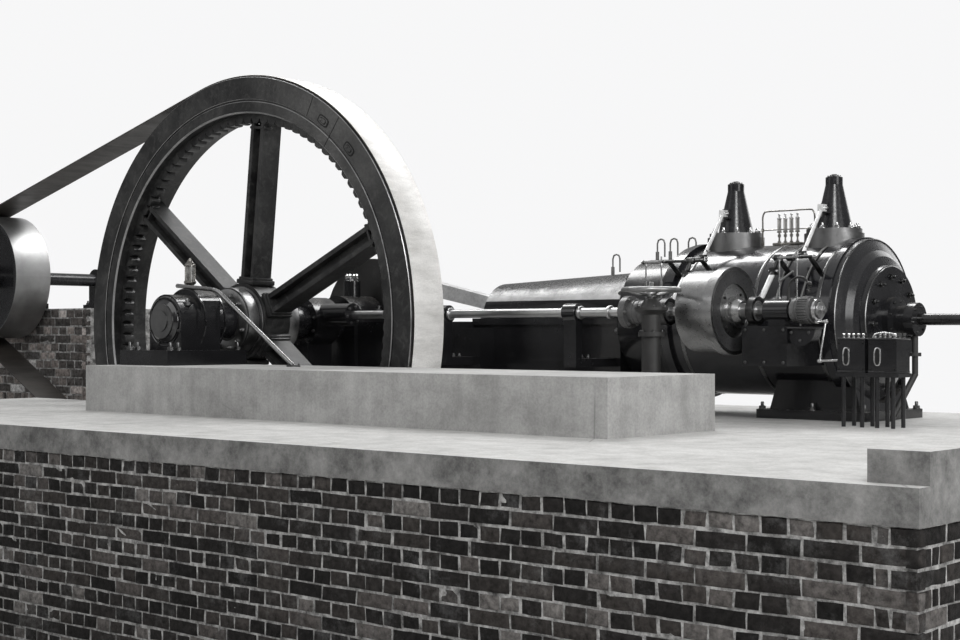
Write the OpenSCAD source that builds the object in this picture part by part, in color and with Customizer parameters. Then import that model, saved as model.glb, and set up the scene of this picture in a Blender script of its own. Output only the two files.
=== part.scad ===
// Horizontal drop-valve steam engine with a belt flywheel, on its brick foundation.
// +X runs from the crank to the cylinder, +Y away from the attendant's side, +Z up.
// The origin lies below the crankshaft's axis, on the underside of the foundation.

/* [Foundation] */
// Height of the brickwork from the ground to the concrete top
brick_h = 1250; // [1150:10:1400]
// Thickness of the concrete top
floor_t = 150; // [100:10:200]
// Distance of the brick front from the engine's centreline
front_reach = 4200; // [3600:50:4600]
// Distance of the foundation's back from the engine's centreline
rear_reach = 1100; // [800:50:1500]
// Distance of the foundation's right end from the crankshaft
right_reach = 7000; // [6600:50:7400]
// Distance of the foundation's left end from the crankshaft
left_reach = 2600; // [2450:50:2800]
// Free space between the flywheel and the walls of its pit
pit_gap = 120; // [80:10:160]
// Height of the raised plinth in front of the flywheel
plinth_h = 333; // [280:1:380]
// Distance of the raised plinth's front from the engine's centreline
plinth_front = 2800; // [2650:10:3000]
// Distance of the raised plinth's left end from the crankshaft
plinth_left = 320; // [310:10:500]
// Distance of the raised plinth's right end from the crankshaft
plinth_right = 4500; // [3800:50:5000]
// Width of the upstand block on the foundation's front right corner
corner_block_w = 260; // [200:10:400]
// Height of the upstand block
corner_block_h = 130; // [80:10:200]

/* [Flywheel] */
// Outer radius of the flywheel
wheel_r = 1900; // [1850:10:1940]
// Width of the rim
rim_w = 340; // [300:10:400]
// Radial thickness of the rim
rim_t = 280; // [240:5:300]
// Distance of the rim's near face from the engine's centreline
wheel_face = 1640; // [1600:10:1700]
// Distance of the turned groove from the rim's outer edge
groove_in = 188; // [150:1:220]
// Width of the turned groove
groove_w = 14; // [8:1:24]
// Teeth of the barring ring
barring_teeth = 104; // [96:1:112]
// Height of a barring tooth
tooth_h = 42; // [30:1:50]
// Radial thickness of the barring ring under its teeth
ring_t = 30; // [20:1:40]
// Width of the barring ring
ring_w = 90; // [70:5:110]
// Distance of the barring ring behind the rim's near face
ring_setback = 74; // [50:1:100]
// Width of a spoke in the plane of the wheel
spoke_w = 150; // [130:5:180]
// Depth of a spoke along the shaft
spoke_d = 180; // [150:5:220]
// Width of each rib of a spoke
spoke_rib = 36; // [26:1:46]
// Thickness of a spoke's web
spoke_web = 44; // [30:1:60]
// Angle of the first spoke from the cylinder's side
spoke_angle = 84; // [60:1:119]
// Outer radius of the hub
hub_r = 300; // [270:5:330]
// Length of the hub
hub_len = 520; // [460:10:540]

/* [Crank] */
// Height of the crankshaft's axis above the floor
axis_rise = 660; // [620:5:700]
// Radius of the crankshaft
shaft_r = 130; // [115:1:140]
// Radius of the light disc in the shaft's end
shaft_tip_r = 77; // [60:1:90]
// Distance of the shaft's end from the engine's centreline
shaft_reach = 2360; // [2340:5:2400]
// Radius of the crank disc
disc_r = 540; // [520:5:580]
// Thickness of the crank disc
disc_t = 120; // [100:5:130]
// Radius of the crank pin's circle
crank_r = 400; // [380:5:410]
// Radius of the crank pin
crank_pin_r = 85; // [70:1:90]
// Angle of the crank at rest
crank_angle = 90; // [60:5:120]
// Length of the connecting rod between its pins
rod_len = 2000; // [1980:5:2020]
// Thickness of the connecting rod
rod_t = 120; // [100:5:130]
// Half height of the connecting rod's shank at the crosshead
rod_small = 46; // [40:1:50]
// Half height of the connecting rod's shank at the crank
rod_large = 66; // [60:1:75]
// Running space beside the crank disc
disc_gap = 6; // [5:1:10]

/* [Bearings] */
// Length of the main bearing along the shaft
main_len = 400; // [340:10:420]
// Half width of the main bearing
main_half = 235; // [220:5:260]
// Height of the main bearing's cap above the axis
cap_rise = 345; // [320:5:370]
// Length of the outboard bearing along the shaft
outboard_len = 370; // [320:10:400]
// Half width of the outboard bearing at its cap
outboard_half = 190; // [180:5:210]
// Height of the outboard bearing's cap above the axis
outboard_rise = 200; // [185:5:230]
// Thickness of the outboard bearing's soleplate
sole_t = 110; // [80:5:140]
// Half width of the outboard bearing's soleplate
sole_half = 290; // [270:5:300]
// Running clearance of shafts and pins on the radius
fit_gap = 0.05; // [0.02:0.01:0.1]

/* [Guide and cylinder] */
// Distance of the crosshead guide's mouth from the crankshaft
guide_start = 1380; // [1340:10:1420]
// Distance of the guide's end from the crankshaft
guide_end = 2790; // [2760:10:2820]
// Outer radius of the guide at its mouth
guide_mouth_r = 302; // [298:1:330]
// Outer radius of the guide at the cylinder
guide_r = 366; // [350:1:380]
// Bore radius of the guide
guide_bore = 280; // [276:1:288]
// Height of the joint between the guide and its cover above the axis
guide_split = 158; // [130:2:180]
// Half width of the bed below the guide
bed_half = 390; // [380:5:420]
// Height of the bed's top above the engine's axis
bed_rise = 25; // [0:5:50]
// Thickness of the bed's top flange
bed_flange_t = 50; // [40:5:70]
// Overhang of the bed's top flange
bed_lip = 30; // [20:5:40]
// Radius of the neck between the guide and the cylinder
neck_r = 450; // [430:5:470]
// Distance of the cylinder's front flange from the crankshaft
cyl_start = 3250; // [3220:10:3270]
// Distance of the cylinder's end flange from the crankshaft
cyl_end = 4560; // [4540:10:4620]
// Outer radius of the cylinder's lagging
cyl_r = 520; // [505:5:530]
// Bore radius of the cylinder
cyl_bore = 330; // [310:5:350]
// Outer radius of the end flanges
flange_r = 550; // [540:5:560]
// Thickness of an end flange
flange_t = 60; // [40:5:80]
// Depth of the stepped end cover
cover_d = 170; // [140:5:200]
// Radius of the piston rod and the tail rod
tail_r = 38; // [30:1:42]
// Length of the tail rod beyond the end cover at rest
tail_reach = 950; // [800:10:1100]
// Thickness of the piston
piston_t = 240; // [200:10:280]
// Half width of the cylinder's foot
foot_half = 330; // [280:10:380]
// Distance of the foot's middle from the crankshaft
foot_x = 4340; // [4320:10:4360]
// Length of the cylinder's foot
foot_len = 500; // [460:10:540]
// Spread of the foot on each side at the floor
foot_spread = 110; // [60:10:130]

/* [Valves] */
// Distance of the front valve from the crankshaft
valve_front = 3520; // [3480:10:3560]
// Distance of the rear valve from the cylinder's end flange
valve_rear_in = 260; // [240:5:300]
// Radius of a valve's base
valve_base_r = 200; // [180:5:210]
// Height of a valve's base above the lagging
valve_base_h = 95; // [80:5:120]
// Radius at the foot of a bonnet
bonnet_r = 125; // [110:1:140]
// Radius at the top of a bonnet
bonnet_top_r = 58; // [50:1:70]
// Height of a bonnet above its base
bonnet_h = 300; // [260:5:330]
// Radius of a valve rod
valve_rod_r = 13; // [10:1:16]
// Radius of an eccentric rod
ecc_rod_r = 18; // [14:1:20]
// Distance of the rocker spindles from the engine's centreline
rocker_y = 565; // [550:5:590]
// Height of the rocker spindles above the engine's axis
rocker_rise = 405; // [390:5:420]
// Radius of a rocker spindle
rocker_r = 11; // [9:1:14]
// Reach of the front rocker spindle towards the crank
rocker_reach = 400; // [300:10:420]

/* [Side shaft] */
// Distance of the side shaft from the engine's centreline
side_y = 840; // [820:5:860]
// Height of the side shaft above the engine's axis
side_rise = 55; // [30:5:60]
// Radius of the side shaft
side_r = 32; // [26:1:38]
// Distance of the side shaft's start from the crankshaft
side_start = 420; // [400:10:460]
// Distance of the side shaft's end from the crankshaft
side_end = 4640; // [4600:10:4680]
// Distance of the front side shaft bearing behind the guide's mouth
bracket_front_in = 90; // [80:10:200]
// Distance of the middle side shaft bearing before the guide's end
bracket_middle_in = 80; // [70:10:160]
// Distance of the side shaft's coupling from the crankshaft
coupling_x = 3180; // [3160:10:3200]
// Radius of the coupling's flange
coupling_r = 110; // [100:5:120]
// Radius of the governor drum's shell
drum_shell_r = 265; // [255:5:270]
// Radius of the governor drum's rim
drum_r = 285; // [275:5:295]
// Width of the drum's rim
drum_rim_w = 70; // [50:5:90]
// Radius of the sunk disc in the drum's face
drum_disc_r = 175; // [150:5:190]
// Length of the governor drum
drum_len = 290; // [270:5:300]
// Distance of the drum's right face from the crankshaft
drum_face = 4050; // [4040:5:4065]
// Radius of an eccentric on the side shaft
ecc_r = 66; // [60:1:70]
// Width of an eccentric strap
strap_w = 50; // [40:1:60]
// Distance of the rear eccentric from the crankshaft
ecc_rear = 4205; // [4185:5:4220]
// Distance of the side shaft's rear bearing from the crankshaft
rear_bearing = 4380; // [4370:5:4390]
// Length of the side shaft's rear bearing
rear_bearing_len = 180; // [160:10:190]
// Radius of a bearing bush on the side shaft
bush_r = 66; // [60:1:75]
// Length of the box bracket under the rear bearing
box_len = 330; // [320:10:340]
// Height of the box bracket under the rear bearing
box_h = 255; // [230:5:270]

/* [Belt drive] */
// Distance of the driven pulley's axis from the crankshaft
pulley_x = 3650; // [3600:10:3700]
// Height of the pulley's axis above the engine's axis
pulley_rise = 430; // [400:5:460]
// Radius of the driven pulley
pulley_r = 570; // [540:5:600]
// Width of the driven pulley
pulley_w = 360; // [340:10:380]
// Radius of the pulley's shaft
pulley_shaft_r = 60; // [50:1:70]
// Thickness of the belt
belt_t = 12; // [8:1:16]
// Width of the belt
belt_w = 300; // [260:10:320]
// Running space between the belt and the wheels
belt_gap = 5; // [5:1:8]
// Length of the brick pier under the pulley's bearings
pier_len = 1500; // [1400:10:1700]
// Depth of the brick pier
pier_d = 1000; // [900:10:1060]
// Height of the pier's top above the engine's axis
pier_rise = 140; // [100:5:180]

/* [Fittings] */
// Distance of the stop valve's column from the crankshaft
stop_x = 3700; // [3680:5:3710]
// Distance of the stop valve's column from the engine's centreline
stop_y = 1280; // [1280:10:1340]
// Height of the stop valve's handwheel above the floor
stop_h = 850; // [780:10:900]
// Outer radius of the handwheel
hand_r = 195; // [170:5:195]
// Radius of the stop valve's column
column_r = 62; // [54:1:66]
// Radius of the stop valve's head
head_r = 108; // [98:1:112]
// Radius of the handwheel's rim
hand_rim = 14; // [10:1:18]
// Radius of the stop valve's spindle
spindle_r = 16; // [12:1:20]
// Distance of the lubricators' middle from the crankshaft
lube_x = 5035; // [5000:5:5100]
// Width of one lubricator box
lube_w = 185; // [170:5:190]
// Space between the two lubricator boxes
lube_space = 24; // [16:1:30]
// Height of a lubricator box
lube_h = 200; // [180:5:230]
// Depth of a lubricator box
lube_d = 170; // [150:5:200]
// Height of the lubricator boxes above the floor
lube_rise = 330; // [300:5:360]
// Shift of the sight-feed oilers from midway between the valves
oiler_shift = 35; // [30:5:40]
// Pitch of the sight-feed oilers
oiler_pitch = 48; // [46:1:50]
// Half width of the pipe frame round the sight-feed oilers
oiler_frame = 205; // [200:5:210]
// Radius of the polished handrail
rail_r = 16; // [12:1:20]
// Reach of the handrail's sloping run from the crankshaft
rail_reach = 1200; // [1100:10:1300]
// Radius of the small oil pipes
pipe_r = 6; // [4:1:8]
// Radius of the drain pipe
drain_r = 20; // [16:1:26]
// Bore radius of the steam inlet
inlet_bore = 75; // [60:1:90]
// Bore radius of the exhaust outlet
exhaust_bore = 80; // [70:1:85]
// Depth of the exhaust outlet below the engine's axis
exhaust_drop = 470; // [450:5:480]
// Width of the bolted rim of a steam flange
flange_rim = 95; // [80:1:110]
// Radius of a steam flange's bolt holes
bolt_hole_r = 11; // [9:1:13]
// Bolt holes in a steam flange
bolt_count = 8; // [6:2:12]

/* [Hidden] */
$fn = 96;
eps = 1;
seat_gap = 0.3;
slide_gap = 0.5;
floor_z = brick_h + floor_t;
axis_z = floor_z + axis_rise;
rim_far = wheel_face - rim_w;
pit_front = wheel_face + pit_gap;
pit_back = rim_far - pit_gap;
pit_right = wheel_r + pit_gap;
rim_inner = wheel_r - rim_t;
ring_root = rim_inner - ring_t;
wheel_mid = wheel_face - rim_w / 2;
disc_near = rod_t / 2 + disc_gap + disc_t;
main_near = disc_near + disc_gap;
main_far = main_near + main_len;
cross_x = crank_r * cos(crank_angle) + sqrt(pow(rod_len, 2) - pow(crank_r * sin(crank_angle), 2));
rod_tilt = asin(crank_r * sin(crank_angle) / rod_len);
cover_top = axis_z + cyl_r;
cyl_mid = (cyl_start + cyl_end) / 2;
piston_mid = cyl_mid + cross_x - rod_len;
end_face = cyl_end + cover_d;
side_z = axis_z + side_rise;
pulley_z = axis_z + pulley_rise;
pier_top = axis_z + pier_rise;
pulley_mid = wheel_mid;
pulley_near = pulley_mid + pulley_w / 2;
pulley_far = pulley_mid - pulley_w / 2;
pier_front = pulley_far - 50;
outboard_near = shaft_reach - 40;
outboard_far = outboard_near - outboard_len;
sole_z = floor_z + plinth_h;
gland_end = end_face + 190;
valve_rear = cyl_end - valve_rear_in;
oiler_x = (valve_front + valve_rear) / 2 + oiler_shift;
lever_z = cover_top + valve_base_h + bonnet_h * 0.45;
rocker_z = axis_z + rocker_rise;
box_top = side_z - ecc_r - 32;
box_start = rear_bearing + rear_bearing_len / 2 - box_len;
outboard_mid = outboard_far + outboard_len / 2;
bracket_w = 110;
bracket_drop = 330;
housing_r = outboard_rise + 45;
gland_r = 110;
foot_top = axis_z - 300;
lug_y = -bonnet_r - 10;
ridge_in = 360;
rear_arm_in = 30;
rear_arm_out = 170;
front_arm_out = 120;
boss_r = 110;
bearing_half = 60;
bearing_foot = 170;
drain_drop = 360;
drain_lean = 60;
drain_reach = 220;
column_collar = 300;

// A cylinder along X, from x0 to x1, with its axis at y and z.
module bar_x(x0, x1, r, y = 0, z = axis_z) {
    translate([x0, y, z]) rotate([0, 90, 0]) cylinder(r = r, h = x1 - x0);
}

// A cylinder along Y, from y0 to y1, with its axis at x and z.
module bar_y(y0, y1, r, x = 0, z = axis_z) {
    translate([x, y1, z]) rotate([90, 0, 0]) cylinder(r = r, h = y1 - y0);
}

// A block given by its low and high corners.
module block(low, high) {
    translate(low) cube(high - low);
}

// A profile turned about the X axis, with its points as [distance along X, radius].
module turned_x(points, y = 0, z = axis_z) {
    translate([0, y, z]) rotate([0, 90, 0]) rotate([0, 0, 180]) rotate_extrude()
        polygon([for (p = points) [p[1], p[0]]]);
}

// A round rod between two points.
module rod_between(a, b, r) {
    d = b - a;
    translate(a) rotate([0, acos(d[2] / norm(d)), atan2(d[1], d[0])]) cylinder(r = r, h = norm(d));
}

// A pipe through a list of points, with a ball at each bend.
module pipe(points, r) {
    for (i = [0 : len(points) - 2]) rod_between(points[i], points[i + 1], r);
    for (i = [1 : len(points) - 2]) translate(points[i]) sphere(r = r * 1.03, $fn = 24);
}

module front_brickwork() {
    color("#5d4b42") block([-left_reach, -front_reach, 0], [right_reach, -pit_front, brick_h]);
}

module middle_brickwork() {
    color("#5d4b42") block([pit_right, -pit_front, 0], [right_reach, -pit_back, brick_h]);
}

module rear_brickwork() {
    color("#5d4b42") block([-left_reach, -pit_back, 0], [right_reach, rear_reach, brick_h]);
}

module front_floor() {
    color("#bdb9b0") {
        block([-left_reach, -front_reach, brick_h], [right_reach, -pit_front, floor_z]);
        block([right_reach - corner_block_w, -front_reach + 90, floor_z - eps],
            [right_reach, -front_reach + 90 + corner_block_w * 1.6, floor_z + corner_block_h]);
    }
}

module middle_floor() {
    color("#bdb9b0") block([pit_right, -pit_front, brick_h], [right_reach, -pit_back, floor_z]);
}

module rear_floor() {
    color("#bdb9b0") block([-left_reach, -pit_back, brick_h], [right_reach, rear_reach, floor_z]);
}

module bearing_plinth() {
    color("#a8a59d") block([-plinth_left, -plinth_front, floor_z], [plinth_right, -pit_front, sole_z]);
}

module pulley_pier() {
    color("#6b5748") block([-left_reach - pier_len, -pier_front, 0],
        [-left_reach, pier_d - pier_front, pier_top]);
}

// The guide's tapered outside, before it is bored.
module guide_body() {
    turned_x([[guide_start, 0], [guide_start, guide_mouth_r], [guide_end, guide_r], [guide_end, 0]]);
}

// The girder from the main bearing to the guide, the guide's lower half and the bed below it.
module bed_frame() {
    color("#1b1b1d") difference() {
        union() {
            block([-main_half - 120, -main_far, floor_z], [main_half + 120, -main_near, floor_z + 150]);
            block([-main_half, -main_far, floor_z], [main_half, -main_near, axis_z - seat_gap]);
            block([main_half - eps, -main_far + 40, floor_z + 190],
                [guide_start + eps, -main_near - 60, axis_z - seat_gap]);
            block([guide_start, -bed_half, floor_z], [guide_end, bed_half, axis_z + bed_rise]);
            for (s = [-1, 1]) translate([guide_start, s * (bed_half + bed_lip / 2 - eps / 2) - bed_lip / 2 - eps / 2,
                axis_z + bed_rise - bed_flange_t]) cube([guide_end - guide_start, bed_lip + eps, bed_flange_t]);
            block([guide_start, -main_far + 40, floor_z + 190],
                [guide_start + 200, -bed_half + eps, axis_z - bed_flange_t]);
            intersection() {
                guide_body();
                block([guide_start - eps, -guide_r - eps, axis_z - guide_r - eps],
                    [guide_end + eps, guide_r + eps, axis_z + guide_split - seat_gap]);
            }
        }
        bar_y(-main_far - eps, -main_near + eps, shaft_r + fit_gap);
        bar_x(guide_start - eps, guide_end - 60, guide_bore);
        bar_x(guide_start - eps, guide_end + eps, tail_r + slide_gap);
    }
}

// The guide's cover, whose crown rises towards the cylinder.
module guide_cover() {
    color("#8d8f92") difference() {
        intersection() {
            guide_body();
            block([guide_start - eps, -guide_r - eps, axis_z + guide_split],
                [guide_end + eps, guide_r + eps, axis_z + guide_r + eps]);
        }
        bar_x(guide_start - eps, guide_end - 60, guide_bore);
        bar_x(guide_start - eps, guide_end + eps, tail_r + slide_gap);
    }
}

module main_bearing_cap() {
    color("#222226") difference() {
        union() {
            intersection() {
                bar_y(-main_far + 20, -main_near - 20, main_half - 15);
                block([-main_half, -main_far, axis_z], [main_half, -main_near, axis_z + main_half]);
            }
            block([-main_half, -main_far + 50, axis_z], [main_half, -main_near - 50, axis_z + 90]);
            translate([0, -(main_near + main_far) / 2, axis_z + main_half - 40])
                cylinder(r = 70, h = cap_rise - main_half + 40);
        }
        bar_y(-main_far - eps, -main_near + eps, shaft_r + fit_gap);
    }
}

module outboard_pedestal() {
    color("#222226") difference() {
        union() {
            block([-sole_half, -outboard_near - 200, sole_z], [sole_half, -pit_front - 20, sole_z + sole_t]);
            block([-outboard_half, -outboard_near, sole_z + sole_t - eps],
                [outboard_half, -outboard_far, axis_z - seat_gap]);
        }
        bar_y(-outboard_near - eps, -outboard_far + eps, shaft_r + fit_gap);
    }
}

// The outboard bearing's cap, with the higher housing behind it.
module outboard_cap() {
    color("#222226") difference() {
        intersection() {
            union() {
                bar_y(-outboard_near, -outboard_mid + eps, outboard_rise);
                bar_y(-outboard_mid, -outboard_far, housing_r);
            }
            block([-outboard_half, -outboard_near, axis_z],
                [outboard_half, -outboard_far, axis_z + housing_r + eps]);
        }
        bar_y(-outboard_near - eps, -outboard_far + eps, shaft_r + fit_gap);
    }
}

// The casing over the bevel gears that drive the side shaft.
module bevel_casing() {
    casing_r = shaft_r + 70;
    casing_near = side_y - 130;
    casing_far = side_y + 130;
    color("#1b1b1d") difference() {
        union() {
            bar_y(-casing_far, -casing_near, casing_r);
            bar_x(0, side_start + 60, side_r + 60, -side_y, side_z);
            block([-90, -casing_far, floor_z], [90, -casing_near, axis_z]);
            block([-160, -casing_far, floor_z], [160, -casing_near, floor_z + 60]);
        }
        bar_y(-casing_far - eps, -casing_near + eps, shaft_r + 6);
        bar_x(side_start - 60, side_start + 61, side_r + fit_gap, -side_y, side_z);
        bar_x(shaft_r, side_start - 55, side_r + 6, -side_y, side_z);
    }
}

module cylinder_barrel() {
    color("#26262a") difference() {
        union() {
            bar_x(cyl_start, cyl_end, cyl_r);
            bar_x(cyl_start, cyl_start + flange_t, flange_r);
            bar_x(cyl_end - flange_t, cyl_end, flange_r);
        }
        bar_x(cyl_start - eps, cyl_end + eps, cyl_bore);
    }
}

// The cover between the guide and the cylinder, with the rod's gland.
module front_cover() {
    color("#1f1f22") difference() {
        turned_x([[guide_end, 0], [guide_end, neck_r - 20], [guide_end + 20, neck_r],
            [cyl_start - 60, neck_r], [cyl_start - 40, flange_r - 10], [cyl_start, flange_r - 10],
            [cyl_start, cyl_bore - 1], [cyl_start + 90, cyl_bore - 1], [cyl_start + 90, 0]]);
        bar_x(guide_end - eps, cyl_start + 91, tail_r + slide_gap);
    }
}

module end_cover() {
    color("#1f1f22") difference() {
        turned_x([[cyl_end - 90, 0], [cyl_end - 90, cyl_bore - 1], [cyl_end, cyl_bore - 1],
            [cyl_end, flange_r - 10], [cyl_end + 35, flange_r - 12], [cyl_end + 60, flange_r - 60],
            [cyl_end + 75, flange_r - 90], [cyl_end + 110, flange_r - 130],
            [cyl_end + 130, flange_r - 190], [end_face, flange_r - 200], [end_face, 0]]);
        bar_x(cyl_end - 91, end_face + eps, tail_r + slide_gap);
    }
}

module tail_gland() {
    color("#2a2a2e") difference() {
        turned_x([[end_face, 0], [end_face, 150], [end_face + 40, 150], [end_face + 50, 90],
            [gland_end - 70, 90], [gland_end - 60, gland_r], [gland_end, gland_r], [gland_end, 0]]);
        bar_x(end_face - eps, gland_end + eps, tail_r + slide_gap);
    }
}

// The cylinder's foot, which spreads towards the floor.
module cylinder_foot() {
    foot_low = foot_len / 2 + foot_spread;
    color("#18181a") difference() {
        union() {
            translate([foot_x, foot_half, floor_z]) rotate([90, 0, 0]) linear_extrude(height = 2 * foot_half)
                polygon([[-foot_low, 0], [foot_low, 0], [foot_len / 2, foot_top - floor_z],
                    [-foot_len / 2, foot_top - floor_z]]);
            block([foot_x - foot_low - 50, -foot_half - 60, floor_z],
                [foot_x + foot_low + 50, foot_half + 60, floor_z + 60]);
        }
        bar_x(cyl_start, end_face, cyl_r + seat_gap);
        bar_x(cyl_end - flange_t - seat_gap, end_face, flange_r + seat_gap);
    }
}

// A flanged steam branch along Y, from y0 to its bolted face at y1, bored from there to its depth.
module steam_branch(x, z, y0, y1, bore, depth) {
    difference() {
        union() {
            bar_y(y0, y1, bore + 25, x, z);
            bar_y(y1 - 30, y1, bore + flange_rim, x, z);
        }
        bar_y(y1 - depth, y1 + eps, bore, x, z);
        for (k = [0 : bolt_count - 1]) translate([x, 0, z]) rotate([0, 360 * (k + 0.5) / bolt_count, 0])
            bar_y(y1 - 31, y1 + eps, bolt_hole_r, bore + flange_rim * 0.66, 0);
    }
}

module steam_inlet() {
    color("#1f1f22") difference() {
        steam_branch(cyl_mid, axis_z + 150, cyl_r - 80, cyl_r + 170, inlet_bore, 160);
        bar_x(cyl_start, cyl_end, cyl_r + seat_gap);
    }
}

module exhaust_outlet() {
    color("#1f1f22") difference() {
        steam_branch(foot_x, axis_z - exhaust_drop, foot_half, foot_half + 260, exhaust_bore, 200);
        bar_x(cyl_start, cyl_end, cyl_r + seat_gap);
    }
}

// One valve bonnet: the saddle on the lagging, the round base and the tapered bonnet.
module bonnet(x) {
    color("#1f1f22") translate([x, 0, 0]) {
        difference() {
            union() {
                translate([0, 0, axis_z + cyl_r - 90]) cylinder(r = valve_base_r, h = 90 + valve_base_h - 30);
                translate([0, 0, cover_top + valve_base_h - 31]) cylinder(r = valve_base_r - 14, h = 31);
            }
            translate([-x, 0, 0]) bar_x(x - 300, x + 300, cyl_r + seat_gap);
        }
        block([-26, lug_y, lever_z - 34], [26, 0, lever_z + 34]);
        translate([0, 0, cover_top + valve_base_h]) cylinder(r1 = bonnet_r, r2 = bonnet_top_r, h = bonnet_h);
        translate([0, 0, cover_top + valve_base_h + bonnet_h]) cylinder(r = bonnet_top_r, h = 50);
    }
}

module front_valve_bonnet() {
    bonnet(valve_front);
}

module rear_valve_bonnet() {
    bonnet(valve_rear);
}

// The eccentric strap and its rod, the rocker spindle on the lagging, and the rod up to the bonnet.
module valve_gear(ecc_x, valve_x, left, right) {
    strap_mid = ecc_r + 14;
    lean = 50;
    arm = [-rocker_y - 55, rocker_z - 90];
    elbow = [-rocker_y + 150, rocker_z + 25];
    color("#c9cacc") {
        difference() {
            bar_x(ecc_x - strap_w / 2, ecc_x + strap_w / 2, ecc_r + 24, -side_y, side_z);
            bar_x(ecc_x - strap_w / 2 - eps, ecc_x + strap_w / 2 + eps, ecc_r + 4, -side_y, side_z);
        }
        rod_between([ecc_x, -side_y + strap_mid * cos(lean), side_z + strap_mid * sin(lean)],
            [ecc_x, arm[0], arm[1]], ecc_rod_r);
        block([ecc_x - 20, arm[0] - 24, arm[1] - 24], [ecc_x + 20, arm[0] + 24, arm[1] + 24]);
        rod_between([ecc_x, arm[0], arm[1]], [ecc_x, -rocker_y, rocker_z], valve_rod_r);
        bar_x(left, right, rocker_r, -rocker_y, rocker_z);
        bar_x(ecc_x - 22, ecc_x + 22, rocker_r * 2.2, -rocker_y, rocker_z);
        bar_x(valve_x - 22, valve_x + 22, rocker_r * 2.2, -rocker_y, rocker_z);
        rod_between([valve_x, -rocker_y, rocker_z], [valve_x, elbow[0], elbow[1]], valve_rod_r);
        block([valve_x - 18, elbow[0] - 20, elbow[1] - 20], [valve_x + 18, elbow[0] + 20, elbow[1] + 20]);
        rod_between([valve_x, elbow[0], elbow[1]], [valve_x, lug_y - 30, lever_z], valve_rod_r);
        block([valve_x - 20, lug_y - 55, lever_z - 24], [valve_x + 20, lug_y, lever_z + 24]);
        for (x = [max(left, cyl_start + flange_t) + 30, right - 30]) difference() {
            rod_between([x, 0, axis_z], [x, -rocker_y, rocker_z], rocker_r * 1.5);
            bar_x(x - 60, x + 60, cyl_r + seat_gap);
        }
    }
}

module front_valve_gear() {
    valve_gear(valve_front, valve_front, valve_front - rocker_reach, valve_front + front_arm_out);
}

module rear_valve_gear() {
    valve_gear(ecc_rear, valve_rear, ecc_rear - rear_arm_in, valve_rear + rear_arm_out);
}

// A standard with a bearing for the side shaft.
module side_bracket(x, w, foot_y, foot_z) {
    difference() {
        union() {
            bar_x(x - w / 2, x + w / 2, bush_r, -side_y, side_z);
            block([x - w / 2, -side_y - 34, foot_z], [x + w / 2, -side_y + 34, side_z]);
            block([x - w / 2, -side_y - 34, foot_z], [x + w / 2, foot_y, foot_z + 60]);
        }
        bar_x(x - w, x + w, side_r + fit_gap, -side_y, side_z);
    }
}

module side_shaft_brackets() {
    color("#1b1b1d") {
        side_bracket(guide_start + bracket_front_in, bracket_w, -main_far + 40, axis_z - bracket_drop);
        side_bracket(guide_end - bracket_middle_in, bracket_w, -bed_half, axis_z - bracket_drop);
        difference() {
            union() {
                bar_x(rear_bearing - rear_bearing_len / 2, rear_bearing + rear_bearing_len / 2, bush_r,
                    -side_y, side_z);
                block([rear_bearing - 60, -side_y - 34, box_top - eps], [rear_bearing + 60, -side_y + 34, side_z]);
                block([box_start, -side_y - 60, box_top - box_h], [box_start + box_len, -cyl_r * 0.6, box_top]);
            }
            bar_x(box_start - eps, box_start + box_len + eps, side_r + fit_gap, -side_y, side_z);
            bar_x(cyl_start, cyl_end, cyl_r + seat_gap);
        }
    }
}

module lubricators() {
    color("#161618") for (s = [-1, 1]) {
        middle = lube_x + s * (lube_w + lube_space) / 2;
        block([middle - lube_w / 2, -side_y - lube_d / 2, floor_z + lube_rise],
            [middle + lube_w / 2, -side_y + lube_d / 2, floor_z + lube_rise + lube_h]);
    }
}

module lubricator_stand() {
    color("#161618") {
        block([lube_x - lube_w - lube_space, -side_y - lube_d / 2, floor_z + lube_rise - 24],
            [lube_x + lube_w + lube_space, -side_y + lube_d / 2, floor_z + lube_rise]);
        for (dx = [-lube_w + 20, -40, 60, lube_w - 20], dy = [-lube_d / 2 + 20, lube_d / 2 - 20])
            translate([lube_x + dx, -side_y + dy, floor_z]) cylinder(r = 13, h = lube_rise - 20);
    }
}

// One sight-feed oiler: its foot, glass and cap.
module oiler(foot, glass_r, glass_h) {
    cylinder(r = glass_r * 0.5, h = foot + eps);
    translate([0, 0, foot]) cylinder(r = glass_r, h = glass_h);
    translate([0, 0, foot + glass_h - eps]) cylinder(r = glass_r * 0.55, h = glass_h * 0.25);
}

// The four oilers with their pipe frame, and the large oiler on the outboard bearing.
module sight_feed_oilers() {
    low = cover_top + 110;
    high = cover_top + 240;
    frame_right = min(oiler_x + oiler_frame, valve_rear - bonnet_r - 20);
    color("#9a9a98") {
        difference() {
            block([oiler_x - 110, -30, cover_top - 20], [oiler_x + 110, 30, cover_top + 18]);
            bar_x(cyl_start, cyl_end, cyl_r + seat_gap);
        }
        for (i = [-1.5 : 1.5]) translate([oiler_x + i * oiler_pitch, 0, cover_top + 17]) oiler(76, 17, 104);
        pipe([[oiler_x - oiler_frame, 0, cover_top + seat_gap], [oiler_x - oiler_frame, 0, high],
            [frame_right - 40, 0, high], [frame_right, 0, high - 40],
            [frame_right, 0, cover_top + valve_base_h + seat_gap]], pipe_r * 1.3);
        rod_between([oiler_x - oiler_frame, 0, low], [frame_right, 0, low], pipe_r);
        translate([-60, -outboard_mid + outboard_len / 4, axis_z + housing_r - 8]) difference() {
            oiler(60, 46, 150);
            translate([60, 50, 8 - housing_r]) rotate([90, 0, 0]) cylinder(r = housing_r + seat_gap, h = 100);
        }
    }
}

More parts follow.
